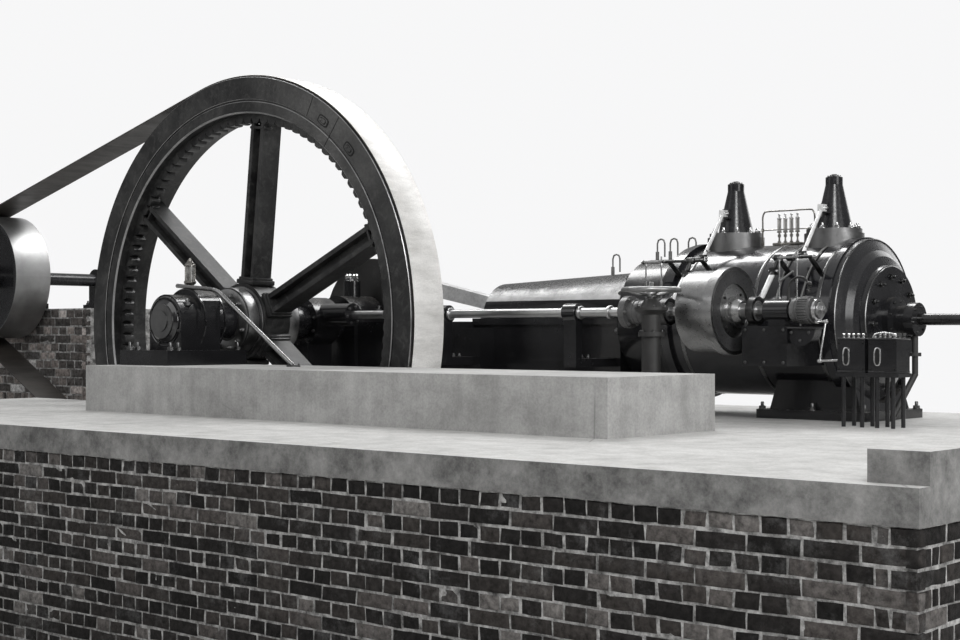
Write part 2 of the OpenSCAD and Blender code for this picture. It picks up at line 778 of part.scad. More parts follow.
// A crook-shaped oil pipe, from its seat up and over.
module crook(x, z) {
    bend = 33;
    rise = 120;
    translate([x, 0, z]) {
        cylinder(r = pipe_r * 2.2, h = 60);
        pipe([[0, 0, 0], [0, 0, rise], [bend * 0.3, 0, rise + bend * 0.75], [bend, 0, rise + bend],
            [bend * 1.7, 0, rise + bend * 0.75], [bend * 2, 0, rise], [bend * 2, 0, 20]], pipe_r);
    }
}

// The crooks on the guide and the neck, and the oil pipes over the lagging to the rear bearing.
module oil_pipes() {
    ridge_x = guide_end - ridge_in;
    ridge_share = (ridge_x + pipe_r * 2.2 - guide_start) / (guide_end - guide_start);
    ridge_z = axis_z + guide_mouth_r + (guide_r - guide_mouth_r) * ridge_share;
    run_step = 15;
    run_r = (cyl_r + pipe_r + eps) / cos(run_step / 2);
    color("#3a3a3c") {
        crook(ridge_x, ridge_z + seat_gap);
        for (d = [50, 165, 325]) crook(guide_end + d, axis_z + neck_r + seat_gap);
        difference() {
            for (x = [ecc_rear - 35, rear_bearing - 25]) pipe([for (k = [5 : -1 : 2]) [x,
                -run_r * cos(run_step * k), axis_z + run_r * sin(run_step * k)],
                [x, -run_r - 8, axis_z + 130], [x, -run_r - 8, box_top + seat_gap]], pipe_r);
            translate([valve_rear, 0, axis_z]) cylinder(r = valve_base_r + seat_gap, h = cyl_r + valve_base_h);
        }
    }
}

module stop_valve_column() {
    color("#2c2c30") translate([stop_x, -stop_y, floor_z]) difference() {
        union() {
            cylinder(r = 130, h = 30);
            cylinder(r = column_r, h = stop_h - 140);
            translate([0, 0, stop_h - column_collar]) cylinder(r = column_r + 22, h = 30);
            translate([0, 0, stop_h - 160]) cylinder(r1 = column_r, r2 = head_r, h = 30);
            translate([0, 0, stop_h - 130]) cylinder(r = head_r, h = 16);
            translate([0, 0, stop_h - 115]) cylinder(r1 = head_r - 30, r2 = 40, h = 60);
        }
        translate([0, 0, stop_h - column_collar]) cylinder(r = spindle_r + fit_gap, h = stop_h);
    }
}

module handwheel() {
    color("#b9babc") translate([stop_x, -stop_y, floor_z + stop_h]) {
        rotate_extrude() translate([hand_r - hand_rim, 0]) circle(r = hand_rim, $fn = 32);
        translate([0, 0, -290]) cylinder(r = spindle_r, h = 340);
        translate([0, 0, -18]) cylinder(r = 34, h = 40);
        for (a = [0 : 60 : 300]) rotate([0, 90, a]) cylinder(r = 9, h = hand_r - hand_rim);
    }
}

// The rail from the outboard bearing's housing down to the plinth.
module handrail() {
    rail_y = -outboard_mid + rail_r + 8;
    fall = 5;
    crest = axis_z + (housing_r + rail_r + seat_gap) / cos(fall);
    start = -outboard_half + 60;
    bend = [outboard_half + 155, rail_y, crest - (outboard_half + 155) * tan(fall)];
    foot = [rail_reach, rail_y, sole_z];
    color("#c9cacc") difference() {
        pipe([[start, rail_y, crest - start * tan(fall)], bend, foot + (foot - bend) * 0.03], rail_r);
        block(foot - [100, 100, 100], foot + [100, 100, 0]);
    }
}

module drain_pipe() {
    x = gland_end - 30;
    color("#1c1c1e") difference() {
        union() {
            pipe([[x, 0, axis_z - 90], [x, 0, axis_z - drain_drop],
                [x - drain_lean, -drain_reach, floor_z]], drain_r);
            translate([x, 0, axis_z - 240]) cylinder(r = drain_r * 2, h = 24);
        }
        bar_x(end_face, gland_end + eps, gland_r + seat_gap);
        block([x - drain_drop, -drain_drop, floor_z - drain_reach], [x + drain_drop, drain_drop, floor_z]);
    }
}

// The belt's outline, two circles joined by the straight runs between their tangent points.
module belt_outline(off) {
    span = norm([pulley_x, pulley_rise]);
    line = atan2(pulley_rise, -pulley_x);
    open = acos((wheel_r - pulley_r) / span);
    upper = [cos(line - open), sin(line - open)];
    lower = [cos(line + open), sin(line + open)];
    centre = [-pulley_x, pulley_rise];
    circle(r = wheel_r + off);
    translate(centre) circle(r = pulley_r + off);
    polygon([(wheel_r + off) * upper, centre + (pulley_r + off) * upper,
        centre + (pulley_r + off) * lower, (wheel_r + off) * lower]);
}

module belt() {
    color("#2a2420") translate([0, -wheel_mid + belt_w / 2, axis_z]) rotate([90, 0, 0])
        linear_extrude(height = belt_w) difference() {
            belt_outline(belt_gap + belt_t);
            belt_outline(belt_gap);
        }
}

module pulley_bearings() {
    from_face = bearing_half + 50;
    color("#1b1b1d") for (y = [-pier_front + from_face, pier_d - pier_front - from_face]) difference() {
        union() {
            block([-pulley_x - bearing_foot, y - bearing_half - 20, pier_top],
                [-pulley_x + bearing_foot, y + bearing_half + 20, pier_top + 50]);
            block([-pulley_x - boss_r + 10, y - bearing_half, pier_top],
                [-pulley_x + boss_r - 10, y + bearing_half, pulley_z]);
            bar_y(y - bearing_half, y + bearing_half, boss_r, -pulley_x, pulley_z);
        }
        bar_y(y - bearing_half - eps, y + bearing_half + eps, pulley_shaft_r + fit_gap, -pulley_x, pulley_z);
    }
}

module driven_pulley() {
    color("#c9cacc") {
        difference() {
            bar_y(-pulley_near, -pulley_far, pulley_r, -pulley_x, pulley_z);
            bar_y(-pulley_near - eps, -pulley_mid - 20, pulley_r - 40, -pulley_x, pulley_z);
            bar_y(-pulley_mid + 20, -pulley_far + eps, pulley_r - 40, -pulley_x, pulley_z);
        }
        bar_y(-pulley_near, -pulley_far, boss_r, -pulley_x, pulley_z);
        bar_y(-pulley_near - 30, pier_d - pier_front, pulley_shaft_r, -pulley_x, pulley_z);
    }
}

module flywheel_rim() {
    color("#26262a") difference() {
        bar_y(-wheel_face, -rim_far, wheel_r);
        bar_y(-wheel_face - eps, -rim_far + eps, rim_inner);
        difference() {
            bar_y(-wheel_face - eps, -wheel_face + 10, wheel_r - groove_in + groove_w);
            bar_y(-wheel_face - 2, -wheel_face + 11, wheel_r - groove_in);
        }
    }
}

// One turn of the toothed inner edge, with six points to each rounded tooth.
function tooth_edge() = [for (i = [0 : barring_teeth - 1], s = [[0, 1], [0.14, 0.35], [0.26, 0.04],
    [0.5, 0], [0.74, 0.04], [0.86, 0.35]]) (ring_root - tooth_h * (1 - s[1]))
    * [cos(360 * (i + s[0]) / barring_teeth), sin(360 * (i + s[0]) / barring_teeth)]];

module barring_ring() {
    color("#26262a") translate([0, -wheel_face + ring_setback + ring_w, axis_z]) rotate([90, 0, 0])
        linear_extrude(height = ring_w) difference() {
            circle(r = rim_inner);
            polygon(tooth_edge());
        }
}

module spoke() {
    reach = sqrt(pow(rim_inner, 2) - pow(spoke_w / 2, 2)) - seat_gap - hub_r * 0.6;
    difference() {
        translate([hub_r * 0.6, -spoke_d / 2, -spoke_w / 2]) cube([reach, spoke_d, spoke_w]);
        for (s = [-1, 1]) translate([hub_r * 0.6 - eps, s * (spoke_web + spoke_d) / 2 - spoke_d / 2,
            -spoke_w / 2 + spoke_rib]) cube([reach + 2 * eps, spoke_d, spoke_w - 2 * spoke_rib]);
    }
}

module flywheel_spokes() {
    color("#26262a") difference() {
        union() {
            bar_y(-wheel_mid - hub_len / 2, -wheel_mid + hub_len / 2, hub_r - 40);
            bar_y(-wheel_mid - 120, -wheel_mid + 120, hub_r);
            translate([0, -wheel_mid, axis_z]) for (k = [0 : 5])
                rotate([0, -spoke_angle - 60 * k, 0]) spoke();
        }
        difference() {
            bar_y(-wheel_face, -wheel_face + ring_setback + ring_w + seat_gap, wheel_r);
            bar_y(-wheel_face - eps, -rim_far, ring_root - tooth_h - seat_gap);
        }
        bar_y(-wheel_mid - hub_len, -wheel_mid + hub_len, shaft_r);
    }
}

module crankshaft() {
    color("#9c9ea1") {
        bar_y(-shaft_reach, -disc_near + 30, shaft_r);
        bar_y(-shaft_reach - 8, -shaft_reach + eps, shaft_tip_r);
    }
}

module crank_disc() {
    color("#26262a") difference() {
        bar_y(-disc_near, -disc_near + disc_t, disc_r);
        bar_y(-disc_near - eps, -disc_near + 30, shaft_r);
    }
}

// The connecting rod, drawn along X from the crosshead pin and then tilted to the crank pin.
module connecting_rod() {
    color("#b4b6b9") translate([cross_x, 0, axis_z]) rotate([0, rod_tilt, 0]) difference() {
        union() {
            rotate([90, 0, 0]) translate([0, 0, -rod_t / 2]) linear_extrude(height = rod_t)
                polygon([[-rod_len, -rod_large], [0, -rod_small], [0, rod_small], [-rod_len, rod_large]]);
            bar_y(-rod_t / 2, rod_t / 2, crank_pin_r + 55, -rod_len, 0);
            bar_y(-rod_t / 2, rod_t / 2, 95, 0, 0);
        }
        bar_y(-rod_t, rod_t, 50 + fit_gap, 0, 0);
    }
}

module crosshead() {
    shoe = guide_bore - slide_gap;
    color("#8d8f92") {
        difference() {
            intersection() {
                bar_x(cross_x - 200, cross_x + 200, shoe);
                block([cross_x - 200, -170, axis_z - shoe], [cross_x + 200, 170, axis_z + shoe]);
            }
            block([cross_x - 201, -rod_t / 2 - 5, axis_z - shoe],
                [cross_x + 130, rod_t / 2 + 5, axis_z + shoe]);
        }
        bar_y(-170, 170, 50, cross_x);
    }
}

module piston_rod() {
    color("#c9cacc") {
        bar_x(cross_x + 200, end_face + tail_reach, tail_r);
        bar_x(piston_mid - piston_t / 2, piston_mid + piston_t / 2, cyl_bore - slide_gap);
    }
}

module side_shaft() {
    color("#c9cacc") {
        bar_x(side_start - 60, side_end, side_r, -side_y, side_z);
        for (x = [valve_front, ecc_rear])
            bar_x(x - strap_w / 2 + 4, x + strap_w / 2 - 4, ecc_r, -side_y, side_z);
        bar_x(coupling_x, coupling_x + 50, coupling_r, -side_y, side_z);
        bar_x(coupling_x + 49, valve_front - strap_w - 20, coupling_r * 0.72, -side_y, side_z);
        bar_x(valve_front - strap_w - 21, valve_front - strap_w, coupling_r * 0.8, -side_y, side_z);
        bar_x(drum_face + 60, ecc_rear - strap_w, side_r * 1.5, -side_y, side_z);
        bar_x(side_end - 150, side_end - 100, 74, -side_y, side_z);
        bar_x(side_end - 101, side_end - 10, 82, -side_y, side_z);
        bar_x(side_end - 11, side_end + 40, 50, -side_y, side_z);
    }
}

// The drum's shell and darker rim, with the sunk disc and the hub in its face.
module governor_drum() {
    color("#3a3b3e") difference() {
        union() {
            bar_x(drum_face - drum_len, drum_face - drum_rim_w + eps, drum_shell_r, -side_y, side_z);
            bar_x(drum_face - drum_rim_w, drum_face, drum_r, -side_y, side_z);
            turned_x([[drum_face - 20, 0], [drum_face - 20, 90], [drum_face + 20, 80], [drum_face + 60, 62],
                [drum_face + 60, 0]], -side_y, side_z);
        }
        difference() {
            bar_x(drum_face - 12, drum_face + eps, drum_disc_r, -side_y, side_z);
            bar_x(drum_face - 13, drum_face + 2, 92, -side_y, side_z);
        }
        bar_x(drum_face - drum_len - eps, drum_face + 61, side_r, -side_y, side_z);
    }
}

front_brickwork();
middle_brickwork();
rear_brickwork();
front_floor();
middle_floor();
rear_floor();
bearing_plinth();
pulley_pier();
bed_frame();
guide_cover();
main_bearing_cap();
outboard_pedestal();
outboard_cap();
bevel_casing();
cylinder_barrel();
front_cover();
end_cover();
tail_gland();
cylinder_foot();
steam_inlet();
exhaust_outlet();
front_valve_bonnet();
rear_valve_bonnet();
front_valve_gear();
rear_valve_gear();
side_shaft_brackets();
lubricators();
lubricator_stand();
sight_feed_oilers();
oil_pipes();
stop_valve_column();
handrail();
drain_pipe();
belt();
pulley_bearings();
flywheel_rim();
barring_ring();
flywheel_spokes();
crankshaft();
crank_disc();
connecting_rod();
crosshead();
piston_rod();
side_shaft();
governor_drum();
driven_pulley();
handwheel();
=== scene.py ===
"""Looks of a horizontal drop-valve steam engine with a belt flywheel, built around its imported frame.

Metres, in the frame's axes: X from the crank to the cylinder, Y away from the attendant's side, Z up.
"""
import math
import random

import bmesh
import bpy
from mathutils import Matrix, Vector


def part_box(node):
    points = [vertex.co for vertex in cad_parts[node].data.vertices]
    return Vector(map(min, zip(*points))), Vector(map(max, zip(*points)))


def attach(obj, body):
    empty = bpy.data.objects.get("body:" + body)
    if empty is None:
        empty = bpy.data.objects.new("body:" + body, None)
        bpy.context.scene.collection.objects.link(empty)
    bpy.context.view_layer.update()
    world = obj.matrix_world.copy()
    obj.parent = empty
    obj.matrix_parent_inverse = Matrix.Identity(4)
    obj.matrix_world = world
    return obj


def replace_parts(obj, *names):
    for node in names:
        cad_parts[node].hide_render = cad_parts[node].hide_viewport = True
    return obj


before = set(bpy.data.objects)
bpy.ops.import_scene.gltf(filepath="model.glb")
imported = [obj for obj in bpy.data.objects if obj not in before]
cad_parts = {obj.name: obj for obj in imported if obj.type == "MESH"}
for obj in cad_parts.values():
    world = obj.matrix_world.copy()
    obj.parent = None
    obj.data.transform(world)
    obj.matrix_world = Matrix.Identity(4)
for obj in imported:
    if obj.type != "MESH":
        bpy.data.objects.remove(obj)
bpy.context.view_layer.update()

X, Y, Z = Vector((1, 0, 0)), Vector((0, 1, 0)), Vector((0, 0, 1))


def low(node):
    """The lowest corner of a CAD node."""
    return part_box(node)[0]


def high(node):
    """The highest corner of a CAD node."""
    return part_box(node)[1]


def middle(node):
    """The middle of a CAD node's box."""
    return (low(node) + high(node)) / 2


AXIS = middle("crankshaft").z
FLOOR = high("rear_floor").z
WHEEL_R = (high("flywheel_rim").z - low("flywheel_rim").z) / 2
RIM_NEAR = low("flywheel_rim").y
RIM_FAR = high("flywheel_rim").y
RIM_T = 0.28
WHEEL_MID = (RIM_NEAR + RIM_FAR) / 2
FIRST_SPOKE = 84
MAIN_BEARING_Y = -0.392
HAND_Z = FLOOR + 0.85
CYL_R = 0.52
CYL_TOP = AXIS + CYL_R
OILER_X = 3.945
VALVE_X = (3.52, 4.30)
COVER_END = high("end_cover").x
SIDE_Y = middle("governor_drum").y
SIDE_Z = middle("governor_drum").z
DRUM_FACE = 4.05
BRICK_TOP = high("front_brickwork").z
PULLEY = middle("driven_pulley")
PULLEY_R = (high("driven_pulley").z - low("driven_pulley").z) / 2
RIM_INNER = WHEEL_R - RIM_T
GROOVE = (1.712, 1.726)
HUB_LEN = 0.52
BELT_GAP = 0.005
WHITE = (0.93, 0.93, 0.935, 1)


class Shape:
    """A mesh in the making, to which simple forms are added before it becomes a piece."""

    def __init__(self):
        self.bm = bmesh.new()
        self.finish_of_faces = 0

    def faces(self, points, rows, marks=None):
        """Adds points and the faces that join them, with the current finish or a finish for each face."""
        verts = [self.bm.verts.new(p) for p in points]
        made = []
        for k, row in enumerate(rows):
            face = self.bm.faces.new([verts[i] for i in row])
            face.material_index = marks[k] if marks else self.finish_of_faces
            made.append(face)
        return verts, made

    def turned(self, at, axis, profile, sides=48, turn=0.0, marks=None):
        """A profile of (distance along the axis, radius) turned about an axis; radius 0 closes an end."""
        place = aim(at, axis)
        points, rings = [], []
        for along, radius in profile:
            count = 1 if radius < 1e-6 else sides
            rings.append((len(points), count))
            for k in range(count):
                a = 2 * math.pi * k / sides + turn
                points.append(place @ Vector((radius * math.cos(a), radius * math.sin(a), along)))
        rows, finishes = [], []
        for step, ((first, count), (second, other)) in enumerate(zip(rings, rings[1:])):
            finishes += [marks[step] if marks else self.finish_of_faces] * sides
            for k in range(sides):
                n = (k + 1) % sides
                if count == 1:
                    rows.append((first, second + k, second + n))
                elif other == 1:
                    rows.append((first + k, second, first + n))
                else:
                    rows.append((first + k, second + k, second + n, first + n))
        return self.faces(points, rows, finishes)

    def solid(self, at, axis, profile, sides=48, turn=0.0):
        """A turned form with flat ends at the profile's first and last steps."""
        self.turned(at, axis, [(profile[0][0], 0), *profile, (profile[-1][0], 0)], sides, turn)

    def ring(self, at, axis, profile, sides=64, marks=None):
        """A closed profile of (distance along the axis, radius) turned about an axis."""
        verts = self.turned(at, axis, list(profile) + [profile[0]], sides, marks=marks)[0]
        seam = [v for pair in zip(verts[:sides], verts[-sides:]) for v in pair]
        bmesh.ops.remove_doubles(self.bm, verts=seam, dist=1e-6)

    def rod(self, start, end, radius, sides=16, chamfer=0.0):
        """A round rod with closed ends."""
        span = Vector(end) - Vector(start)
        length = span.length
        c = min(chamfer, radius * 0.6, length * 0.4)
        profile = [(0, radius), (length, radius)]
        if c > 0:
            profile = [(0, radius - c), (c, radius), (length - c, radius), (length, radius - c)]
        self.solid(start, span, profile, sides)

    def soften(self, faces, bevel, segments=2):
        """Rounds the edges of some faces."""
        if bevel > 0:
            edges = list({e for f in faces for e in f.edges})
            got = bmesh.ops.bevel(self.bm, geom=edges, offset=bevel, segments=segments, profile=0.5,
                                  affect="EDGES", clamp_overlap=True)
            for f in got["faces"]:
                f.material_index = self.finish_of_faces

    def box(self, lo, hi, bevel=0.0, segments=2, place=Matrix()):
        """A block, with its edges rounded by bevel."""
        points = [place @ Vector(p) for p in grid(*zip(lo, hi))]
        rows = [(0, 1, 3, 2), (4, 6, 7, 5), (0, 4, 5, 1), (2, 3, 7, 6), (0, 2, 6, 4), (1, 5, 7, 3)]
        self.soften(self.faces(points, rows)[1], bevel, segments)

    def tube(self, points, radius, sides=12, steps=6, end_radius=None):
        """A round tube on a smooth curve through points, with closed ends, even or tapered."""
        path = smooth_path([Vector(p) for p in points], steps)
        last = len(path) - 1
        taper = 0 if end_radius is None else end_radius - radius
        side = None
        corners, rows = [], []
        for i, p in enumerate(path):
            ahead = (path[min(i + 1, last)] - path[max(i - 1, 0)]).normalized()
            if side is None:
                side = ahead.cross(Z if abs(ahead.z) < 0.9 else X).normalized()
            side = (side - ahead * side.dot(ahead)).normalized()
            other = ahead.cross(side)
            for k in range(sides):
                a = 2 * math.pi * k / sides
                size = radius + taper * i / last
                corners.append(p + (side * math.cos(a) + other * math.sin(a)) * size)
        for i in range(last):
            for k in range(sides):
                n = (k + 1) % sides
                rows.append((i * sides + k, i * sides + n, (i + 1) * sides + n, (i + 1) * sides + k))
        rows.append(tuple(range(sides))[::-1])
        rows.append(tuple(last * sides + k for k in range(sides)))
        self.faces(corners, rows)

    def plate(self, outline, place, thickness, bevel=0.0):
        """A flat outline in its own x and y, made thick along its own z."""
        n = len(outline)
        points = [place @ Vector((x, y, z)) for z in (0, thickness) for x, y in outline]
        rows = [tuple(range(n))[::-1], tuple(range(n, 2 * n))]
        rows += [(k, (k + 1) % n, n + (k + 1) % n, n + k) for k in range(n)]
        self.soften(self.faces(points, rows)[1][:2], bevel)

    def nut(self, at, axis, size, turn=0.3, stud=0.35):
        """A chamfered hexagon nut on its washer, with the end of its stud. Size is across the corners."""
        r, washer, top = size / 2, size * 0.09, size * 0.09 + size * 0.42
        chamfer = washer + size * 0.42 * 0.86
        self.solid(at, axis, [(0, r * 1.18), (washer, r * 1.18)], 18)
        self.solid(at, axis, [(washer, r), (chamfer, r), (top, r * 0.84)], 6, turn)
        self.solid(at, axis, [(top, r * 0.5), (top + size * stud * 0.8, r * 0.5),
                              (top + size * stud, r * 0.38)], 12)

    def nuts(self, points, axis, size, turn=0.3, stud=0.35):
        """The same nut at several points."""
        for at in points:
            self.nut(at, axis, size, turn, stud)

    def nut_ring(self, at, axis, radius, count, size, first=0.0, stud=0.35):
        """A circle of nuts about an axis."""
        place = aim(at, axis)
        for k in range(count):
            a = first + 2 * math.pi * k / count
            self.nut(place @ Vector((radius * math.cos(a), radius * math.sin(a), 0)), axis, size, a, stud)

    def done(self, name, body, slot, *finishes, angle=38, clean=True):
        """Closes the mesh, makes it a piece that rides on its body, and gives it its finishes."""
        if clean:
            bmesh.ops.recalc_face_normals(self.bm, faces=self.bm.faces)
        mesh = bpy.data.meshes.new(name)
        self.bm.to_mesh(mesh)
        self.bm.free()
        for f in finishes:
            mesh.materials.append(f)
        mesh.polygons.foreach_set("use_smooth", [True] * len(mesh.polygons))
        mesh.set_sharp_from_angle(angle=math.radians(angle))
        piece = added(name, mesh)
        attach(piece, body)
        return piece


def aim(at, axis):
    """A place whose own z runs along an axis."""
    return Matrix.Translation(Vector(at)) @ Vector(axis).to_track_quat("Z", "Y").to_matrix().to_4x4()


def smooth_path(points, steps):
    """Points on a smooth curve through the given ones."""
    if len(points) < 3 or steps < 2:
        return points
    ends = [points[0] * 2 - points[1]] + points + [points[-1] * 2 - points[-2]]
    path = []
    for a, b, c, d in zip(ends, ends[1:], ends[2:], ends[3:]):
        for s in range(steps):
            t = s / steps
            path.append(0.5 * (2 * b + (c - a) * t + (2 * a - 5 * b + 4 * c - d) * t ** 2
                               + (3 * b - a - 3 * c + d) * t ** 3))
    path.append(points[-1])
    return path


def grid(xs, ys, zs):
    """The points at every mix of the given places."""
    return [(x, y, z) for x in xs for y in ys for z in zs]


def mm(*numbers):
    """Pairs of metres from a row of millimetres, such as a profile's distances and radii."""
    return [(a / 1000, b / 1000) for a, b in zip(numbers[::2], numbers[1::2])]


def on_axis(x):
    """A point on the cylinder's centre line."""
    return Vector((x, 0, AXIS))


def on_side_shaft(x):
    """A point on the side shaft's centre line."""
    return Vector((x, SIDE_Y, SIDE_Z))


def rounded(wide, tall, power, count):
    """An outline between an ellipse and a block, squarer with a lower power."""
    turns = [(math.cos(2 * math.pi * k / count), math.sin(2 * math.pi * k / count)) for k in range(count)]
    return [(wide * math.copysign(abs(c) ** power, c), tall * math.copysign(abs(s) ** power, s))
            for c, s in turns]


def shade(colour, share, lift=0.0, most=1.0):
    """A colour made lighter or darker."""
    return tuple(min(most, c * share + lift) for c in colour)


class Nodes:
    """A node tree in the making, with short calls that feed its sockets."""

    def __init__(self, owner):
        owner.use_nodes = True
        self.tree = owner.node_tree
        self.tree.nodes.clear()

    def add(self, kind):
        return self.tree.nodes.new(kind)

    def feed(self, socket, value):
        """Links an output, or sets a plain value."""
        if isinstance(value, bpy.types.NodeSocket):
            self.tree.links.new(value, socket)
        else:
            socket.default_value = value

    def ramp(self, value, stops):
        """Colours or greys by value; stops are (position, grey or colour)."""
        node = self.add("ShaderNodeValToRGB")
        self.feed(node.inputs[0], value)
        marks = node.color_ramp.elements
        while len(marks) < len(stops):
            marks.new(0.5)
        for mark, (at, colour) in zip(marks, stops):
            mark.position = at
            c = colour if isinstance(colour, (tuple, list)) else (colour,) * 3
            mark.color = (*c, 1)
        return node.outputs[0]

    def blend(self, share, a, b, how="MIX"):
        """Blends two colours, each an output, a grey or a colour."""
        node = self.add("ShaderNodeMix")
        node.data_type = "RGBA"
        node.blend_type = how
        self.feed(node.inputs[0], share)
        for socket, value in ((node.inputs[6], a), (node.inputs[7], b)):
            if isinstance(value, (int, float)):
                value = (value,) * 3
            if isinstance(value, (tuple, list)):
                value = (*value, 1)
            self.feed(socket, value)
        return node.outputs[2]

    def sum(self, how, a, b):
        """Simple arithmetic on two values."""
        node = self.add("ShaderNodeMath")
        node.operation = how
        self.feed(node.inputs[0], a)
        self.feed(node.inputs[1], b)
        return node.outputs[0]

    def split(self, output):
        """The three parts of a vector."""
        node = self.add("ShaderNodeSeparateXYZ")
        self.feed(node.inputs[0], output)
        return node.outputs

class Finish(Nodes):
    """A material in the making, on the object's own coordinates."""

    def __init__(self, name):
        self.material = bpy.data.materials.new(name)
        super().__init__(self.material)
        self.shader = self.add("ShaderNodeBsdfPrincipled")
        self.feed(self.add("ShaderNodeOutputMaterial").inputs[0], self.shader.outputs[0])
        self.place = self.add("ShaderNodeTexCoord").outputs["Object"]

    def noise(self, scale, detail=4.0, rough=0.55, stretch=(1, 1, 1), bend=0.0):
        scaled = self.add("ShaderNodeMapping")
        self.feed(scaled.inputs["Vector"], self.place)
        scaled.inputs["Scale"].default_value = stretch
        node = self.add("ShaderNodeTexNoise")
        for socket, value in zip(("Vector", "Scale", "Detail", "Roughness", "Distortion"),
                                 (scaled.outputs[0], scale, detail, rough, bend)):
            self.feed(node.inputs[socket], value)
        return node.outputs["Fac"]

    def cracks(self, scale):
        """Distance to the nearest edge of irregular cells."""
        node = self.add("ShaderNodeTexVoronoi")
        node.feature = "DISTANCE_TO_EDGE"
        self.feed(node.inputs["Vector"], self.place)
        self.feed(node.inputs["Scale"], scale)
        return node.outputs["Distance"]

    def reach(self, axis, a, b):
        """Distance from a line along an axis, which passes through a and b on the other two."""
        parts = self.split(self.place)
        first, second = {"x": (1, 2), "y": (0, 2), "z": (0, 1)}[axis]
        du, dv = self.sum("SUBTRACT", parts[first], a), self.sum("SUBTRACT", parts[second], b)
        squares = self.sum("ADD", self.sum("MULTIPLY", du, du), self.sum("MULTIPLY", dv, dv))
        return self.sum("SQRT", squares, 0.0)

    def between(self, value, least, most):
        """1 where a value lies between two limits, and 0 elsewhere."""
        return self.sum("MULTIPLY", self.sum("GREATER_THAN", value, least),
                        self.sum("LESS_THAN", value, most))

    def facing_up(self):
        """How far the surface faces up, from -1 to 1."""
        return self.split(self.add("ShaderNodeNewGeometry").outputs["Normal"])[2]

    def upright(self):
        """1 on upright faces, and 0 on level ones."""
        return self.ramp(self.sum("ABSOLUTE", self.facing_up(), 0.0), [(0.3, 1.0), (0.8, 0.0)])

    def bump(self, height, distance, strength=1.0, below=None):
        node = self.add("ShaderNodeBump")
        self.feed(node.inputs["Strength"], strength)
        self.feed(node.inputs["Distance"], distance)
        self.feed(node.inputs["Height"], height)
        if below is not None:
            self.feed(node.inputs["Normal"], below)
        return node.outputs[0]

    def done(self, **sockets):
        """Sets the shader's sockets by their names, with _ for a space."""
        for name, value in sockets.items():
            self.feed(self.shader.inputs[name.replace("_", " ")], value)
        return self.material


def enamel(name, base, dust, gloss=(0.12, 0.32), wave=0.0015, shine=0.5, coat=0.35):
    """Glossy enamel on a casting: slight waves, oil smears, and dust where it faces up."""
    f = Finish(name)
    patches = f.noise(2.6, 6, 0.6)
    fine = f.noise(34, 5, 0.6)
    tone = f.ramp(patches, [(0.3, base), (0.75, shade(base, 1.9, 0.004))])
    dusty = f.ramp(f.sum("MULTIPLY", f.facing_up(), f.noise(5.5, 6, 0.65)), [(0.3, 0.0), (0.62, 1.0)])
    colour = f.blend(f.sum("MULTIPLY", dusty, dust), tone, (0.20, 0.19, 0.175))
    rough = f.ramp(f.blend(0.4, patches, fine), [(0.35, gloss[0]), (0.7, gloss[1])])
    rough = f.blend(f.sum("MULTIPLY", dusty, dust), rough, 0.55)
    skin = f.bump(f.noise(7, 3, 0.5), wave * 2, 0.5)
    skin = f.bump(f.noise(150, 3, 0.6), 0.0006, 0.22, skin)
    return f.done(Base_Color=colour, Roughness=rough, Normal=skin, Coat_Weight=coat, Coat_Roughness=0.06,
                  Specular_IOR_Level=shine)


def iron(name, base, rough=(0.35, 0.62)):
    """Painted or oiled iron with a rougher skin and rubbed places."""
    f = Finish(name)
    patches = f.noise(5, 7, 0.65)
    fine = f.noise(70, 4, 0.65)
    tone = f.ramp(patches, [(0.28, shade(base, 0.55)), (0.55, base), (0.8, shade(base, 2.1))])
    gloss = f.ramp(f.blend(0.5, patches, fine), [(0.3, rough[0]), (0.7, rough[1])])
    skin = f.bump(fine, 0.0012, 0.45)
    return f.done(Base_Color=tone, Roughness=gloss, Normal=skin, Metallic=0.15)


def steel(name, along=None, base=0.62, rough=(0.16, 0.42), stain=0.5, metal=1.0):
    """Machined steel: tool marks across one axis, with oil stains and dull patches."""
    f = Finish(name)
    stretch = {"x": (60, 1, 1), "y": (1, 60, 1), "z": (1, 1, 60)}.get(along, (1, 1, 1))
    marks = f.noise(9, 3, 0.6, stretch)
    patches = f.noise(7, 6, 0.62, bend=0.4)
    specks = f.noise(46, 5, 0.7)
    tone = f.ramp(patches, [(0.3, base * (1 - 0.62 * stain)), (0.5, base), (0.72, min(1, base * 1.22))])
    tone = f.blend(0.35, tone, f.ramp(specks, [(0.35, base * 0.5), (0.6, base * 1.1)]))
    gloss = f.ramp(f.blend(0.45, patches, marks), [(0.32, rough[0]), (0.7, rough[1])])
    skin = f.bump(marks, 0.0004, 0.35)
    skin = f.bump(specks, 0.0005, 0.2, skin)
    return f.done(Base_Color=tone, Roughness=gloss, Normal=skin, Metallic=metal)


def gear_steel(name):
    """Valve gear: its long rods and flat bars polished steel with a pale, partly diffuse base that paints in
    their bright sheen; its straps, brackets and arms oiled and dark.
    """
    f = Finish(name)
    across, height = f.split(f.place)[1:3]
    rods = f.sum("GREATER_THAN", height, 2.512)
    bars = f.sum("MULTIPLY", f.between(height, 2.195, 2.35), f.between(across, -0.80, -0.63))
    mask = f.sum("MAXIMUM", rods, bars)
    patches = f.noise(14, 6, 0.62)
    # bright is a painted sheen: a pale base that, with the lowered metallic share below, makes the rods and
    # bars look lit white
    bright = f.ramp(patches, [(0.3, 0.62), (0.6, 0.88)])
    oiled = f.ramp(patches, [(0.3, 0.03), (0.55, 0.09), (0.75, 0.2)])
    return f.done(Base_Color=f.blend(mask, oiled, bright),
                  Roughness=f.ramp(patches, [(0.3, 0.28), (0.7, 0.44)]),
                  Normal=f.bump(f.noise(80, 4), 0.0004, 0.3),
                  Metallic=f.ramp(mask, [(0.0, 1.0), (1.0, 0.45)]))


